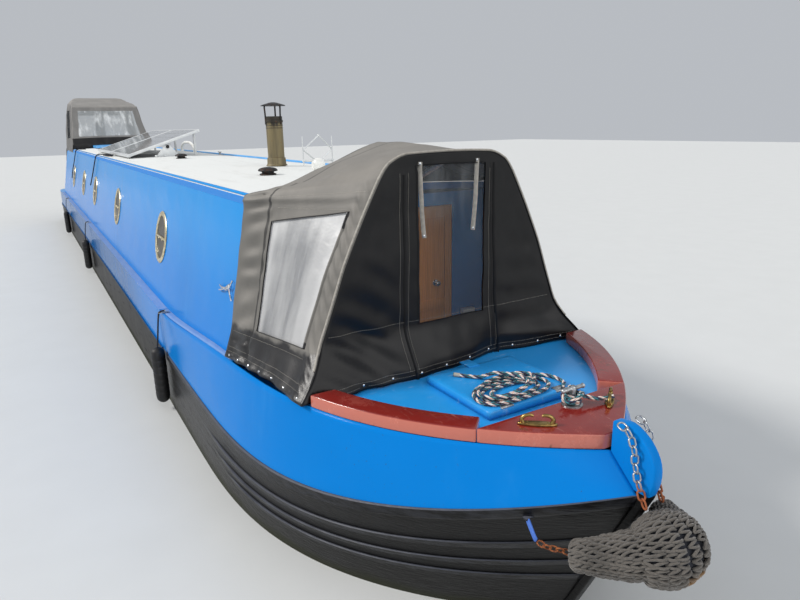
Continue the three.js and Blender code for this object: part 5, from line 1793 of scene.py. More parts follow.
    def front_line(self, points, lift=0.003):
        """A line that lies on the front panel, from points (across, height above the waterline)."""
        made = []
        for point in evenly(through([(0, y, z) for y, z in points], 10), 0.01):
            share = clamp01((point.z - 0.87) / 1.1)
            out = self.front_folds(point.y, point.z, share)
            made.append(Vector((COVER_FRONT - 0.004 + out + lift, point.y, WATERLINE + point.z)))
        return made

    def fittings(self):
        bm = fresh()
        for line in (((-0.265, 1.896), (-0.267, 1.5), (-0.273, 0.885)),
                     ((0.267, 1.93), (0.28, 1.5), (0.303, 0.905))):
            tube(bm, self.front_line(line), 0.011, 8, flat=0.3)
        piece("cratch_cover_zip_flaps", bm, ["canvas_front"], slot="cover_cloth", sharp=80)
        bm = fresh()
        tooth = block((-0.0012, -0.0042, -0.0014), (0.0012, 0.0042, 0.0014), 0.0)
        places = []
        for line in (((-0.252, 1.896), (-0.254, 1.5), (-0.26, 0.885)),
                     ((0.253, 1.93), (0.266, 1.5), (0.289, 0.905))):
            places += [Matrix.Translation(point) for point in evenly(self.front_line(line, 0.001), 0.0055)]
        scatter(bm, tooth, places)
        piece("cratch_cover_zip_teeth", bm, ["rubber"], slot="cover_cloth")
        bm = fresh()
        for line in (((-0.176, 1.952), (-0.17, 1.78), (-0.157, 1.589)),
                     ((0.159, 1.956), (0.152, 1.78), (0.14, 1.599))):
            tube(bm, self.front_line(line, 0.004), 0.011, 8, flat=0.16)
        piece("cratch_cover_straps", bm, ["piping"], slot="cover_cloth", sharp=80)
        bm = fresh()
        studs = []
        for y in lines((-0.72, 0.72, 9)):
            point = self.front_line(((y, self.front_hem(y) + 0.022), (y + 0.001, self.front_hem(y) + 0.023)),
                                    0.0)[0]
            studs.append(pointing((1, 0, 0), point))
        for y, z in ((-0.176, 1.945), (-0.158, 1.6), (0.159, 1.949), (0.141, 1.61)):
            point = self.front_line(((y, z), (y, z + 0.001)), 0.006)[0]
            studs.append(pointing((1, 0, 0), point))
        for sign in (-1, 1):
            for t in lines((0.06, 0.95, 6)):
                studs.append(pointing(cover_out(t, 0.16, sign), on_cover(t, 0.16, sign, 0.001)))
        scatter(bm, turned([(0, 0.004), (0.004, 0.0034), (0.0066, 0.0014), (0.0072, 0), (0, 0)], 14), studs)
        piece("cratch_cover_studs", bm, ["chrome"], slot="steel", sharp=60)


# Well deck and front doors
def door_leaf(name, body, node, x0, x1, y0, y1, z0, z1, knob, out):
    """A framed and panelled door leaf with its knob on the outside."""
    bm = fresh()
    add(bm, block((x0 + 0.006, y0, z0), (x1 - 0.006, y1, z1), 0.002))
    frame_width = 0.055
    for low, high in (((x0, y0, z0), (x1, y0 + frame_width, z1)), ((x0, y1 - frame_width, z0), (x1, y1, z1)),
                      ((x0, y0 + frame_width, z0), (x1, y1 - frame_width, z0 + 0.09)),
                      ((x0, y0 + frame_width, z1 - 0.07), (x1, y1 - frame_width, z1)),
                      ((x0, y0 + frame_width, mix(z0, z1, 0.52)), (x1, y1 - frame_width, mix(z0, z1, 0.57)))):
        add(bm, block(low, high, 0.003))
    piece(name, bm, ["varnish"], body, [node], "varnished_wood", 30)
    bm = fresh()
    x, y, z = knob
    handle = turned([(0, -0.001), (0.02, -0.001), (0.02, 0.003), (0.009, 0.006), (0.0075, 0.016),
                     (0.015, 0.022), (0.0175, 0.03), (0.014, 0.038), (0.006, 0.0405), (0, 0.041)], 28)
    add(bm, handle, pointing((out, 0, 0), (x, y, z)))
    piece(f"{name}_knob", bm, ["chrome"], body, slot="bronze", sharp=60)


class NARROWBOAT_OT_well(bpy.types.Operator):
    """Fits out the covered well: front doors, bulkhead and the cover's frame"""
    bl_idname = "narrowboat.well"
    bl_label = "Well and front doors"

    def execute(self, context):
        dress({"front_bulkhead": "blue_gloss", "cratch_frame": "galvanised"})
        for side, y0, y1, knob in (("port", 0.202, 0.496, 0.37), ("starboard", -0.096, 0.198, 0.03)):
            door_leaf(f"front_door_leaf_{side}", f"front_door_{side}", f"front_door_{side}",
                      CABIN_FRONT - 0.035,
                      CABIN_FRONT, y0, y1, 0.804, 2.186, (CABIN_FRONT, knob, WATERLINE + 1.15), 1)
        bm = fresh()
        add(bm, block((CABIN_FRONT + 0.0005, 0.565, 1.4), (CABIN_FRONT + 0.045, 0.655, 1.5), 0.006, 3))
        add(bm, block((CABIN_FRONT + 0.044, 0.585, 1.425), (CABIN_FRONT + 0.049, 0.635, 1.475), 0.002))
        wire = through([(CABIN_FRONT + 0.02, 0.61, 1.402), (CABIN_FRONT + 0.012, 0.608, 1.34),
                        (CABIN_FRONT + 0.008, 0.6, 1.2), (CABIN_FRONT + 0.008, 0.598, 0.95)], 10)
        tube(bm, wire, 0.0032, 8)
        piece("socket_box", bm, ["white"], slot="white_plastic", sharp=50)
        return {"FINISHED"}


# Cabin
PORTHOLES = (-2.24, -4.88, -7.3, -9.12, -11.19)
PORTHOLE_Z = WATERLINE + 1.262


class NARROWBOAT_OT_cabin(bpy.types.Operator):
    """Paints the cabin and fits its portholes, roof and rails"""
    bl_idname = "narrowboat.cabin"
    bl_label = "Cabin"

    def execute(self, context):
        dress({
            "cabin_side_port": "blue_gloss", "cabin_side_starboard": "blue_gloss", "roof": "roof_paint",
            "rear_bulkhead": "blue_gloss", "cabin_floor": "boards",
        })
        for side, sign in SIDES:
            self.portholes(side, sign)
            self.rail(side, sign)
        return {"FINISHED"}

    def portholes(self, side, sign):
        lean = math.atan2(SIDE_FOOT - SIDE_HEAD, ROOF_EDGE - GUNWALE)
        out = Vector((0, sign * math.cos(lean), math.sin(lean)))
        down = Vector((-sign, 0, 0)).cross(out)
        along = out.cross(down)
        rims, panes, screws = fresh(), fresh(), fresh()
        for x in PORTHOLES:
            at = Vector((CABIN_FRONT + x, sign * lean_at(PORTHOLE_Z), PORTHOLE_Z))
            place = Matrix.Translation(at) @ axes(down, along, out)
            rim = [(0.178, -0.038), (0.188, -0.038), (0.1885, 0.0), (0.214, 0.001), (0.216, 0.004),
                   (0.212, 0.0085), (0.2, 0.0105), (0.19, 0.0125), (0.181, 0.0115), (0.1765, 0.006),
                   (0.175, -0.008), (0.178, -0.038)]
            add(rims, turned(rim, 56), place)
            add(rims, block((-0.009, -0.177, -0.002), (0.009, 0.177, 0.012), 0.002), place)
            for catch in (-0.07, 0.07):
                add(rims, ball((0.014, catch, 0.006), 0.009, (1, 1, 0.8), 6), place)
            add(panes, turned([(0, -0.004), (0.1765, -0.004), (0.1765, 0.003), (0, 0.003)], 48), place)
            heads = [place @ Matrix.Translation((0.202 * math.cos(a), 0.202 * math.sin(a), 0.0095))
                     for a in [math.pi / 6 * (k + 0.5) for k in range(12)]]
            scatter(screws, turned([(0, 0.0018), (0.0035, 0.0014), (0.0045, 0), (0, 0)], 10), heads)
        piece(f"porthole_rims_{side}", rims, ["brass"], slot="bronze", sharp=40)
        piece(f"porthole_panes_{side}", panes, ["porthole_glass"], slot="steel", sharp=40)
        piece(f"porthole_screws_{side}", screws, ["bronze"], slot="bronze", sharp=40)

    def rail(self, side, sign):
        start, end = REAR_BULKHEAD + 0.05, CABIN_FRONT - 0.045
        top = ROOF_EDGE + (0.022 if sign > 0 else 0.014)
        section = ((0.732, roof_z(0.732) + 0.0003), (0.76, roof_z(0.76) + 0.002), (0.757, top), (0.735, top))
        outline = [(start, y * sign, z) for y, z in section]
        bm = fresh()
        add(bm, slab(outline, (end - start, 0, 0), 0.004, 3))
        gloss_of = "pale_blue" if sign > 0 else "blue_gloss"
        piece(f"handrail_bar_{side}", bm, [gloss_of], "root", [f"handrail_{side}"], "light_blue_paint", 50)


# Roof gear
class NARROWBOAT_OT_roof_gear(bpy.types.Operator):
    """Sets up the chimney, vents, aerial, solar panels and arch on the roof"""
    bl_idname = "narrowboat.roof_gear"
    bl_label = "Roof gear"

    def execute(self, context):
        self.chimney()
        self.vents()
        self.aerial()
        self.panels()
        self.arch()
        self.small_things()
        return {"FINISHED"}

    def chimney(self):
        x, y = CABIN_FRONT - 2.36, 0.222
        at = Matrix.Translation((x, y, roof_z(y) + 0.005))
        bm = fresh()
        body = [(0, 0), (0.093, 0), (0.095, 0.003), (0.093, 0.008), (0.088, 0.011), (0.085, 0.018),
                (0.083, 0.06), (0.08, 0.07), (0.0735, 0.0735), (0.074, 0.2), (0.074, 0.376), (0.0785, 0.379),
                (0.08, 0.388), (0.0785, 0.397), (0.074, 0.4), (0.0738, 0.43), (0.0685, 0.43), (0.067, 0.2),
                (0.06, 0.12), (0, 0.12)]
        add(bm, turned(body, 56), at)
        piece("chimney_flue", bm, ["flue"], "root", ["chimney"], "chimney_paint", 40)
        bm = fresh()
        hat = [(0, 0.521), (0.102, 0.518), (0.108, 0.518), (0.1085, 0.522), (0.104, 0.526), (0.074, 0.535),
               (0.034, 0.547), (0.012, 0.55), (0, 0.55)]
        add(bm, turned(hat, 56), at)
        for k in range(3):
            angle = TURN * k / 3 + 0.5
            reach = Vector((math.cos(angle), math.sin(angle), 0))
            leg = through([reach * 0.0765 + Vector((0, 0, 0.36)), reach * 0.0775 + Vector((0, 0, 0.45)),
                           reach * 0.08 + Vector((0, 0, 0.508)), reach * 0.073 + Vector((0, 0, 0.526))], 6)
            strap = fresh()
            tube(strap, leg, 0.008, 8, flat=0.3)
            add(bm, strap, at)
        for height in (0.33, 0.352):
            ring = [Vector((0.0752 * math.cos(a), 0.0752 * math.sin(a), height))
                    for a in [TURN * k / 48 for k in range(49)]]
            band = fresh()
            tube(band, ring, 0.0022, 6)
            add(bm, band, at)
        piece("chimney_hat", bm, ["dark_iron"], slot="chimney_paint", sharp=40)

    def vents(self):
        for name, x, y in (("front", -1.335, -0.222), ("rear", -4.79, -0.1)):
            bm = fresh()
            body = [(0, 0), (0.061, 0), (0.062, 0.004), (0.06, 0.008), (0.048, 0.0105), (0.045, 0.015),
                    (0.045, 0.022), (0.06, 0.025), (0.0715, 0.0275), (0.072, 0.032), (0.067, 0.041),
                    (0.055, 0.048), (0.036, 0.053), (0.016, 0.0557), (0, 0.056)]
            add(bm, turned(body, 44), Matrix.Translation((CABIN_FRONT + x, y, roof_z(y) + 0.002)))
            piece(f"vent_dome_{name}", bm, ["dark_iron"], "root", [f"mushroom_vent_{name}"], "steel", 40)

    def aerial(self):
        """A twin-pole aerial: struts in a diamond over a ribbed pod."""
        x, y = CABIN_FRONT - 1.6, 0.3
        foot = roof_z(y) + 0.003
        bm = fresh()
        pod = [(0, 0), (0.048, 0), (0.05, 0.006), (0.0555, 0.012), (0.056, 0.018), (0.0535, 0.021),
               (0.056, 0.025), (0.056, 0.032), (0.0535, 0.035), (0.056, 0.039), (0.056, 0.05),
               (0.0525, 0.064), (0.04, 0.082), (0.02, 0.09), (0, 0.092)]
        add(bm, turned(pod, 40), Matrix.Translation((x, y, foot)))
        piece("aerial_pod", bm, ["white"], "root", ["aerial"], "white_plastic", 40)
        bm = fresh()
        rail = ROOF_EDGE + 0.095
        for dy in (-0.128, 0.128):
            add(bm, rod((x, y + dy, ROOF_EDGE + 0.06), (x, y + dy, ROOF_EDGE + 0.288), 0.0042, 10, 0.001))
            add(bm, ball((x, y + dy, rail), 0.009, (1, 1.2, 1), 7))
        for lift in (-0.006, 0.006):
            add(bm, rod((x + lift, y - 0.13, rail + lift), (x + lift, y + 0.13, rail + lift), 0.0034, 8))
        top = Vector((x, y + 0.014, ROOF_EDGE + 0.294))
        for s in (-1, 1):
            corner = Vector((x, y + s * 0.126, ROOF_EDGE + 0.184))
            for lift in (-0.007, 0.007):
                step = Vector((lift, 0, 0))
                add(bm, rod(top + step, corner + step, 0.0034, 8))
                add(bm, rod(corner + step, Vector((x, y + s * 0.03, foot + 0.08)) + step, 0.0034, 8))
        add(bm, ball(top, 0.01, (1, 1, 1), 7))
        piece("aerial_rods", bm, ["aluminium"], slot="white_plastic", sharp=40)

    def panels(self):
        low, high = Vector((0, -0.585, 0.028)), Vector((0, 0.35, 0.331))
        slope = high - low
        width = slope.length
        slope.normalize()
        normal = Vector((1, 0, 0)).cross(slope)
        for name, x in (("front", -5.6), ("rear", -7.31)):
            start = CABIN_FRONT + x
            turn = axes(Vector((1, 0, 0)), slope, normal)
            place = Matrix.Translation((start - 1.65, low.y, ROOF_EDGE + low.z)) @ turn
            frame_bm = fresh()
            for a, b in (((0, 0, 0), (1.65, 0.03, 0.035)), ((0, width - 0.03, 0), (1.65, width, 0.035)),
                         ((0, 0.03, 0), (0.03, width - 0.03, 0.035)),
                         ((1.62, 0.03, 0), (1.65, width - 0.03, 0.035))):
                add(frame_bm, block(a, b, 0.0015), place)
            for px in (start - 0.2, start - 1.45):
                for py in (-0.545, 0.31):
                    reach = ROOF_EDGE + low.z + (py - low.y) * slope.z / slope.y
                    base = roof_z(abs(py) - 0.015) + 0.002
                    near, far = py - 0.015, py + 0.015
                    add(frame_bm, block((px - 0.004, near, base), (px + 0.016, far, reach + 0.006), 0.001))
                    add(frame_bm, block((px - 0.02, near, base), (px + 0.02, far, base + 0.004), 0.001))
            piece(f"solar_frame_{name}", frame_bm, ["aluminium"], "root", [f"solar_panel_{name}"], "steel",
                  40)
            cells = fresh()
            add(cells, block((0.028, 0.028, 0.004), (1.622, width - 0.028, 0.0325), 0.0005), place)
            for column in range(9):
                for row in range(6):
                    cx, cy = 0.04 + column * 0.1758, 0.036 + row * 0.1555
                    add(cells, block((cx, cy, 0.031), (cx + 0.168, cy + 0.149, 0.0333), 0.0004, 1), place)
            piece(f"solar_cells_{name}", cells, ["cell"], slot="solar_cell", sharp=40)

    def arch(self):
        y = 0.69
        front, rear = CABIN_FRONT - 7.48, CABIN_FRONT - 8.39
        base = roof_z(y) + 0.004
        bm = fresh()
        shoulder, top = ROOF_EDGE + 0.095, ROOF_EDGE + 0.15
        line = through([(front, y, base), (front, y, base + 0.03), (front - 0.06, y, shoulder),
                        (front - 0.26, y, top), (rear + 0.26, y, top), (rear + 0.06, y, shoulder),
                        (rear, y, base + 0.03), (rear, y, base)], 12)
        tube(bm, evenly(line, 0.012), 0.022, 18)
        flange = [(0, 0), (0.036, 0), (0.036, 0.003), (0.025, 0.006), (0.0235, 0.02), (0, 0.02)]
        for x in (front, rear):
            add(bm, turned(flange, 24), Matrix.Translation((x, y, base - 0.003)))
        piece("roof_arch_bar", bm, ["white"], "root", ["roof_arch"], "white_paint", 50)

    def small_things(self):
        """A cleat and folded bracket on the roof, and the ropes that hang over its edge."""
        bm = fresh()
        y = 0.7
        x, z = CABIN_FRONT - 6.01, roof_z(0.7)
        add(bm, block((x - 0.05, y - 0.014, z), (x + 0.05, y + 0.014, z + 0.006), 0.002))
        for s in (-1, 1):
            add(bm, rod((x + s * 0.022, y, z + 0.004), (x + s * 0.022, y, z + 0.03), 0.007, 12))
            add(bm, rod((x + s * 0.005, y, z + 0.034), (x + s * 0.085, y, z + 0.042), 0.0085, 12, 0.002,
                        0.006))
        add(bm, rod((x - 0.03, y, z + 0.034), (x + 0.03, y, z + 0.034), 0.0085, 12))
        piece("roof_cleat", bm, ["galvanised"], slot="steel", sharp=50)
        self.bracket()
        self.side_latch()
        self.roof_ropes()

    def bracket(self):
        """A folded gusset under the front panel's edge, with its knob and two bolts."""
        x, foot = CABIN_FRONT - 5.65, roof_z(0.1)
        bm = fresh()
        gusset = [(x, -0.22, foot), (x, 0.05, foot), (x, 0.05, foot + 0.02), (x, -0.055, foot + 0.155),
                  (x, -0.105, foot + 0.155), (x, -0.22, foot + 0.02)]
        add(bm, slab(gusset, (0.004, 0, 0), 0.001))
        add(bm, block((x, -0.22, foot), (x + 0.04, 0.05, foot + 0.004), 0.001))
        for y in (-0.25, -0.14):
            add(bm, ball((x + 0.1, y, foot + 0.012), 0.02, (1, 1, 0.8), 8))
        piece("panel_bracket", bm, ["aluminium"], slot="steel", sharp=50)
        piece("panel_bracket_knob", ball((x + 0.02, -0.08, foot + 0.125), 0.022, (0.8, 1, 1), 8), ["rubber"],
              slot="fender_rubber", sharp=60)

    def side_latch(self):
        """The bright over-centre latch on the starboard side, just aft of the cover."""

        def at(x, z, out=0.0):
            height = WATERLINE + z
            return Vector((CABIN_FRONT + x, -lean_at(height) - out, height))

        bm = fresh()
        add(bm, rod(at(-0.29, 1.232, 0.004), at(-0.22, 1.262, 0.004), 0.017, 14, 0.003))
        for line in ((at(-0.41, 1.205, 0.012), at(-0.34, 1.222, 0.02), at(-0.24, 1.25, 0.016)),
                     (at(-0.4, 1.235, 0.012), at(-0.32, 1.24, 0.024), at(-0.22, 1.25, 0.016)),
                     (at(-0.24, 1.25, 0.016), at(-0.19, 1.262, 0.022), at(-0.172, 1.305, 0.012)),
                     (at(-0.2, 1.262, 0.02), at(-0.18, 1.23, 0.018), at(-0.168, 1.19, 0.008))):
            tube(bm, through(line, 6), 0.0055, 10)
        piece("side_latch", bm, ["chrome"], slot="steel", sharp=50)

    def roof_ropes(self):
        """Two dark lines over the starboard edge, one with its slack in loops by the front panel."""
        base = ROOF_EDGE + 0.02
        loops = []
        for i in range(64):
            angle = TURN * i / 16
            loops.append((CABIN_FRONT - 6.72 - i * 0.0085 + 0.07 * math.cos(angle),
                          -0.662 + 0.036 * math.sin(angle),
                          base + 0.004 + 0.009 * math.sin(angle * 0.5 + 0.4)))
        hang = [(-7.345, -0.7, 1.79), (-7.37, -0.752, 1.79), (-7.378, -0.79, 1.762), (-7.4, -0.803, 1.72),
                (-7.47, -0.822, 1.632), (-7.62, -0.853, 1.47), (-7.775, -0.886, 1.316)]
        stern_line = [(-10.9, -0.62, 1.79), (-10.96, -0.7, 1.79), (-11, -0.752, 1.79),
                      (-11.012, -0.79, 1.762), (-11.03, -0.803, 1.72), (-11.12, -0.845, 1.54),
                      (-11.2, -0.886, 1.38), (-11.27, -0.915, 1.222)]
        bm = fresh()
        for line, lead in ((hang, loops), (stern_line, [])):
            route = [*lead, *[(CABIN_FRONT + x, y, WATERLINE + z) for x, y, z in line]]
            laid_rope(bm, through(route, 5), 0.0085)
        piece("roof_ropes", bm, ["dark_cord"], slot="fender_rope", sharp=80)


# Hood over the aft cockpit
HOOD_FRONT = REAR_BULKHEAD - 0.045
HOOD_REAR = CABIN_REAR - 0.04
HOOD_FOOT = ROOF_EDGE + 0.11  # its front slopes from here up to the knee
HOOD_KNEE = 3.21
HOOD_SLOPE = 0.42
HOOD_ROWS = ((0.795, 1.7), (0.79, 1.8), (0.7, 2.5), (0.64, 2.74), (0.52, 2.86), (0.3, 2.895), (0, 2.9))


def hood_row(s):
    """Half-width and height at row s, 0 at the cabin's edge and 6 on the ridge."""
    return row_at(HOOD_ROWS, s, 0.5)


def hood_top(x):
    """Height of the hood's ridge: a slope up from the front, a gentle rise, a turn down at the rear."""
    knee = HOOD_FRONT - HOOD_SLOPE
    if x > knee:
        return mix(HOOD_KNEE, HOOD_FOOT, (x - knee) / HOOD_SLOPE)
    if x > HOOD_REAR + 0.18:
        return mix(3.43, HOOD_KNEE, (x - HOOD_REAR - 0.18) / (knee - HOOD_REAR - 0.18))
    return mix(3.35, 3.43, (x - HOOD_REAR) / 0.18)


def hood_front(z):
    """How far forward the hood's front edge is at a height."""
    return HOOD_FRONT - HOOD_SLOPE * clamp01((z - HOOD_FOOT) / (HOOD_KNEE - HOOD_FOOT))


def hood_row_near(z):
    """The row whose height is z."""
    return min(lines((0, 6, 240)), key=lambda s: abs(hood_row(s).y + WATERLINE - z))


def hood_cloth_at(x, y, z, sign):
    """A place on the hood with its sag and folds, which the shell and the screen share."""
    low = HOOD_ROWS[0][1] + WATERLINE
    sag = 0.012 * math.sin((x - HOOD_REAR) * 7.2) * ease((z - low) / 0.4)
    fold = 0.008 * ripple(x, z, sign * 2, 0.22) + 0.005 * math.sin(x * 30 + z * 6) * ease((z - low) / 0.3)
    return Vector((x, (y - (0.014 - fold) * clamp01(y / 0.3)) * sign, z - 0.016 + sag * 0.6))


class NARROWBOAT_OT_hood(bpy.types.Operator):
    """Sews the hood over the aft cockpit"""
    bl_idname = "narrowboat.hood"
    bl_label = "Hood"

    def execute(self, context):
        thickness = context.scene.narrowboat_sizes.canvas
        self.shell(thickness)
        self.screen(thickness)
        self.curtain(thickness)
        return {"FINISHED"}

    def shell(self, thickness):
        """Sides and top, from the rear to the edges of the sloping front."""
        along = lines((0, 0.12, 4), (0.12, 1, 44))
        half = lines((0, 1.2, 8), (1.2, 3, 16), (3, 6, 18))
        across = [*half, *[12 - s for s in reversed(half[:-1])]]

        def place(u, v):
            sign = -1 if v <= 6 else 1
            y, z = hood_row(min(v, 12 - v))
            x = mix(HOOD_REAR, hood_front(min(z + WATERLINE, HOOD_KNEE)), u)
            return hood_cloth_at(x, y, min(z + WATERLINE, hood_top(x)), sign)

        def pattern(u, v):
            return 1 if 1.35 < min(v, 12 - v) < 2.35 and 0.22 < u < 0.7 else 0

        bm = fresh()
        lattice(bm, along, across, place, pattern)
        sheet = piece("hood_shell", bm, ["hood_cloth", "clear_vinyl"], "root", ["hood"], "cover_cloth", 75,
                      away_from=(-6.3, 0, 2.4))
        thicken(sheet, thickness)
        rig.sheet(sheet, flat=(2.1, 3.4), held="stretched",
                 rests_on=["cabin_side_port", "cabin_side_starboard"])

    def screen(self, thickness):
        """The sloping front: a dark folded apron below a wide clear window in a border."""

        def place(a, v):
            z = mix(roof_z(0.7 * a) + 0.004, HOOD_KNEE, v)
            half = hood_row(hood_row_near(z)).x
            point = hood_cloth_at(hood_front(z), half * abs(a), z, math.copysign(1, a))
            apron = clamp01((0.24 - v) / 0.12) * (1 - abs(a) ** 6) * clamp01(v / 0.03)
            point.x += apron * (0.014 * math.sin(a * 19 + 5 * v) + 0.012 * ripple(a, v, 3.3, 0.16) + 0.012)
            return point

        side, foot, top, apron_top = 0.82, 0.3, 0.9, 0.26  # of the window, and of the apron below it

        def window(a, v):
            if abs(a) < side and foot < v < top:
                return 1
            return 2 if v < apron_top else 0

        across = lines((-1, -side, 5), (-side, side, 34), (side, 1, 5))
        upward = lines((0, apron_top, 16), (apron_top, foot, 2), (foot, top, 20), (top, 1, 4))
        bm = fresh()
        lattice(bm, across, upward, place, window)
        sheet = piece("hood_screen", bm, ["hood_cloth", "hood_window", "canvas_front"], slot="cover_cloth",
                      sharp=75,
                      away_from=(-6.3, 0, 2.4))
        thicken(sheet, thickness)
        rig.sheet(sheet, flat=(1.55, 1.05), held="stretched", rests_on=["roof", "hood_shell"])

    def curtain(self, thickness):
        bm = fresh()

        def place(u, v):
            z = mix(GUNWALE + 0.01, 3.33, v)
            if z < ROOF_EDGE:
                half = mix(0.928, lean_at(ROOF_EDGE - 0.04) + 0.01, clamp01((z - GUNWALE) / 0.97))
            else:
                half = 0.78
                for (y0, z0), (y1, z1) in zip(HOOD_ROWS, HOOD_ROWS[1:]):
                    if z0 <= z - WATERLINE <= z1:
                        half = mix(y0, y1, (z - WATERLINE - z0) / (z1 - z0)) - 0.014
            y = u * half
            fold = 0.006 * math.sin(y * 21) * (1 - 0.6 * v) + 0.005 * ripple(y, z, 4, 0.25)
            return Vector((HOOD_REAR + 0.006 + fold, y, z))

        lattice(bm, lines((-1, 1, 44)), lines((0, 1, 48)), place,
                lambda u, v: 1 if 0.12 < abs(u) < 0.8 and 0.56 < v < 0.86 else 0)
        sheet = piece("hood_curtain", bm, ["canvas", "clear_vinyl"], slot="cover_cloth", sharp=75,
                      away_from=(-6, 0, 2))
        thicken(sheet, thickness)
        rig.sheet(sheet, flat=(1.86, 2.05), area=3.2, held="hung", rests_on=["hood_shell", "stern_deck"])


# Stern
class NARROWBOAT_OT_stern(bpy.types.Operator):
    """Finishes the aft cockpit, the tiller and the gear under the counter"""
    bl_idname = "narrowboat.stern"
    bl_label = "Stern"

    def execute(self, context):
        dress({
            "propeller": "bronze", "rudder": "hull_black", "rear_hatch": "pale_blue",
            "cockpit_deck": "cockpit_plate",
            "engine_board": "boards", "engine": "engine",
        })
        for side, sign in SIDES:
            y0, y1 = sorted((0.002 * sign, 0.326 * sign))
            door_leaf(f"rear_door_leaf_{side}", f"rear_door_{side}", f"rear_door_{side}", REAR_BULKHEAD,
                      REAR_BULKHEAD + 0.035, y0, y1, 0.964, 2.186, (REAR_BULKHEAD, 0.05 * sign, 1.6), -1)
        self.tiller()
        self.dolls()
        return {"FINISHED"}

    def tiller(self):
        stock = -8.23
        top = GUNWALE + 0.47
        bm = fresh()
        hub = [(0, 0.0603), (0.033, 0.0603), (0.034, 0.063), (0.034, 0.125), (0.03, 0.13), (0, 0.13)]
        add(bm, turned(hub, 32), Matrix.Translation((stock, 0, GUNWALE)))
        neck = through([(stock, 0, GUNWALE + 0.1), (stock - 0.06, 0, GUNWALE + 0.23),
                        (stock - 0.02, 0, GUNWALE + 0.39), (stock + 0.12, 0, top)], 10)
        tube(bm, neck, 0.02, 20)
        add(bm, rod((stock + 0.11, 0, top - 0.002), (stock + 0.7, 0, top + 0.091), 0.017, 20, 0.002, 0.0135))
        piece("tiller_neck", bm, ["pale_blue"], "steering", ["tiller"], "light_blue_paint", 50)
        bm = fresh()
        grip = [(0, 0), (0.012, 0), (0.0165, 0.006), (0.0185, 0.03), (0.0165, 0.07), (0.0185, 0.115),
                (0.0155, 0.136), (0.007, 0.1415), (0, 0.142)]
        add(bm, turned(grip, 28), pointing((0.14, 0, 0.022), (stock + 0.698, 0, top + 0.0905)))
        piece("tiller_grip", bm, ["varnish"], "steering", slot="varnished_wood", sharp=60)

    def dolls(self):
        """Two short mooring studs on the stern deck."""
        bm = fresh()
        for y in (-0.62, 0.62):
            post = [(0, 0), (0.035, 0), (0.035, 0.005), (0.018, 0.009), (0.017, 0.05), (0.026, 0.058),
                    (0.026, 0.064), (0.012, 0.068), (0, 0.068)]
            add(bm, turned(post, 28), Matrix.Translation((-7.75, y, GUNWALE)))
        piece("stern_studs", bm, ["galvanised"], slot="steel", sharp=40)


class NARROWBOAT_OT_side_fenders(bpy.types.Operator):
    """Hangs the six side fenders on their ropes"""
    bl_idname = "narrowboat.side_fenders"
    bl_label = "Side fenders"

    def execute(self, context):
        y = HALF_BEAM + STRAKE_PROUD + 0.056
        foot = WATERLINE + 0.06
        for side, sign in SIDES:
            for number, x in enumerate((-1.65, -7.5, -11.75), 1):
                at = CABIN_FRONT + x
                deck = sheer(at)
                bm = fresh()
                body = [(0, 0), (0.02, 0.001), (0.034, 0.01), (0.046, 0.026), (0.051, 0.05), (0.052, 0.075)]
                for k in range(6):
                    low = 0.09 + k * 0.052
                    body += [(0.052, low), (0.0495, low + 0.004), (0.0495, low + 0.008), (0.052, low + 0.012)]
                body += [(0.052, 0.39), (0.049, 0.418), (0.04, 0.436), (0.022, 0.446), (0.012, 0.45),
                         (0, 0.45)]
                add(bm, turned(body, 36), Matrix.Translation((at, y * sign, foot)))
                piece(f"side_fender_body_{side}_{number}", bm, ["rubber"], "root",
                      [f"side_fender_{side}_{number}"], "fender_rubber", 50)
                bm = fresh()
                line = through([(at, y * sign, foot + 0.44), (at, (y - 0.012) * sign, foot + 0.52),
                                (at, (y - 0.036) * sign, deck - 0.02), (at, (y - 0.052) * sign, deck + 0.015),
                                (at, (y - 0.09) * sign, deck + 0.02)], 10)
                laid_rope(bm, line, 0.0065)
                piece(f"side_fender_rope_{side}_{number}", bm, ["dark_cord"], slot="fender_rope", sharp=80)
                bm = fresh()
                low_y, high_y = sorted(((SIDE_FOOT + 0.012) * sign, (y - 0.038) * sign))
                add(bm, block((at - 0.015, low_y, deck + 0.005), (at + 0.015, high_y, deck + 0.009), 0.0012))
                pin, height = (y - 0.09) * sign, deck + 0.018
                add(bm, rod((at - 0.015, pin, height), (at + 0.015, pin, height), 0.006, 12, 0.001))
                piece(f"side_fender_hook_{side}_{number}", bm, ["galvanised"], slot="steel", sharp=40)
        return {"FINISHED"}


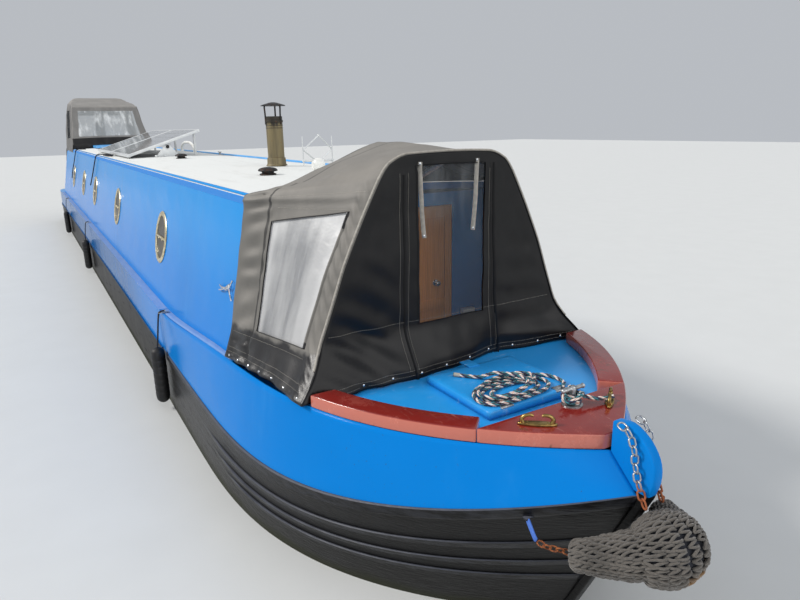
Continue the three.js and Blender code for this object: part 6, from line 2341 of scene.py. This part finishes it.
class NARROWBOAT_OT_stage(bpy.types.Operator):
    """Sets the floor at the waterline and soft studio light"""
    bl_idname = "narrowboat.stage"
    bl_label = "Stage"

    def execute(self, context):
        sizes = context.scene.narrowboat_sizes
        bm = fresh()
        made = bmesh.ops.create_grid(bm, x_segments=4, y_segments=4, size=60)
        bmesh.ops.translate(bm, vec=(0, 0, sizes.floor), verts=made["verts"])
        mesh = bpy.data.meshes.new("studio_floor")
        bm.to_mesh(mesh)
        bm.free()
        floor = bpy.data.objects.new("studio_floor", mesh)
        context.collection.objects.link(floor)
        mesh.materials.append(finish("studio_floor"))
        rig.stage(floor)
        world = bpy.data.worlds.new("studio")
        world.use_nodes = True
        back = world.node_tree.nodes["Background"]
        back.inputs["Color"].default_value = (0.86, 0.9, 0.96, 1)
        back.inputs["Strength"].default_value = 0.56
        context.scene.world = world
        for name, energy, spread, colour, source in (
                ("key", 2.4, 0.25, (1.0, 0.965, 0.92), (-0.35, -0.72, 0.6)),
                ("fill", 1.3, 1.2, (1.0, 0.98, 0.95), (0.86, 0.1, 0.5))):
            sun = bpy.data.lights.new(name, "SUN")
            sun.energy = energy
            sun.angle = spread
            sun.color = colour
            light = bpy.data.objects.new(name, sun)
            light.matrix_world = pointing(Vector(source))
            context.collection.objects.link(light)
        context.scene.view_settings.view_transform = "Standard"
        return {"FINISHED"}


OPERATORS = (
    NARROWBOAT_OT_camera, NARROWBOAT_OT_rope, NARROWBOAT_OT_hull, NARROWBOAT_OT_bow_deck,
    NARROWBOAT_OT_bow_fender, NARROWBOAT_OT_cratch_cover, NARROWBOAT_OT_well, NARROWBOAT_OT_cabin,
    NARROWBOAT_OT_roof_gear, NARROWBOAT_OT_hood, NARROWBOAT_OT_stern, NARROWBOAT_OT_side_fenders,
    NARROWBOAT_OT_stage,
)


class NARROWBOAT_PT_panel(bpy.types.Panel):
    """The boat's sizes, colours and pieces"""
    bl_idname = "NARROWBOAT_PT_panel"
    bl_label = "Narrowboat"
    bl_space_type = "VIEW_3D"
    bl_region_type = "UI"
    bl_category = "Narrowboat"

    def draw(self, context):
        for group in (context.scene.narrowboat_sizes, context.scene.narrowboat_colours):
            box = self.layout.box()
            for name in group.__annotations__:
                box.prop(group, name)
        for operator in OPERATORS:
            self.layout.operator(operator.bl_idname)


CLASSES = (NarrowboatSizes, NarrowboatColours, *OPERATORS, NARROWBOAT_PT_panel)


def register():
    for one in CLASSES:
        bpy.utils.register_class(one)
    bpy.types.Scene.narrowboat_sizes = bpy.props.PointerProperty(type=NarrowboatSizes)
    bpy.types.Scene.narrowboat_colours = bpy.props.PointerProperty(type=NarrowboatColours)


def unregister():
    del bpy.types.Scene.narrowboat_colours
    del bpy.types.Scene.narrowboat_sizes
    for one in reversed(CLASSES):
        bpy.utils.unregister_class(one)


def main():
    register()
    for operator in OPERATORS:
        group, name = operator.bl_idname.split(".")
        getattr(getattr(bpy.ops, group), name)()
    sizes = {"cad": [list(corner) for corner in CAD_BOX], "visual": [list(corner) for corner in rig.bounds()]}
    with open("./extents.json", "w") as file:
        json.dump(sizes, file, indent=1)


if __name__ == "__main__":
    main()
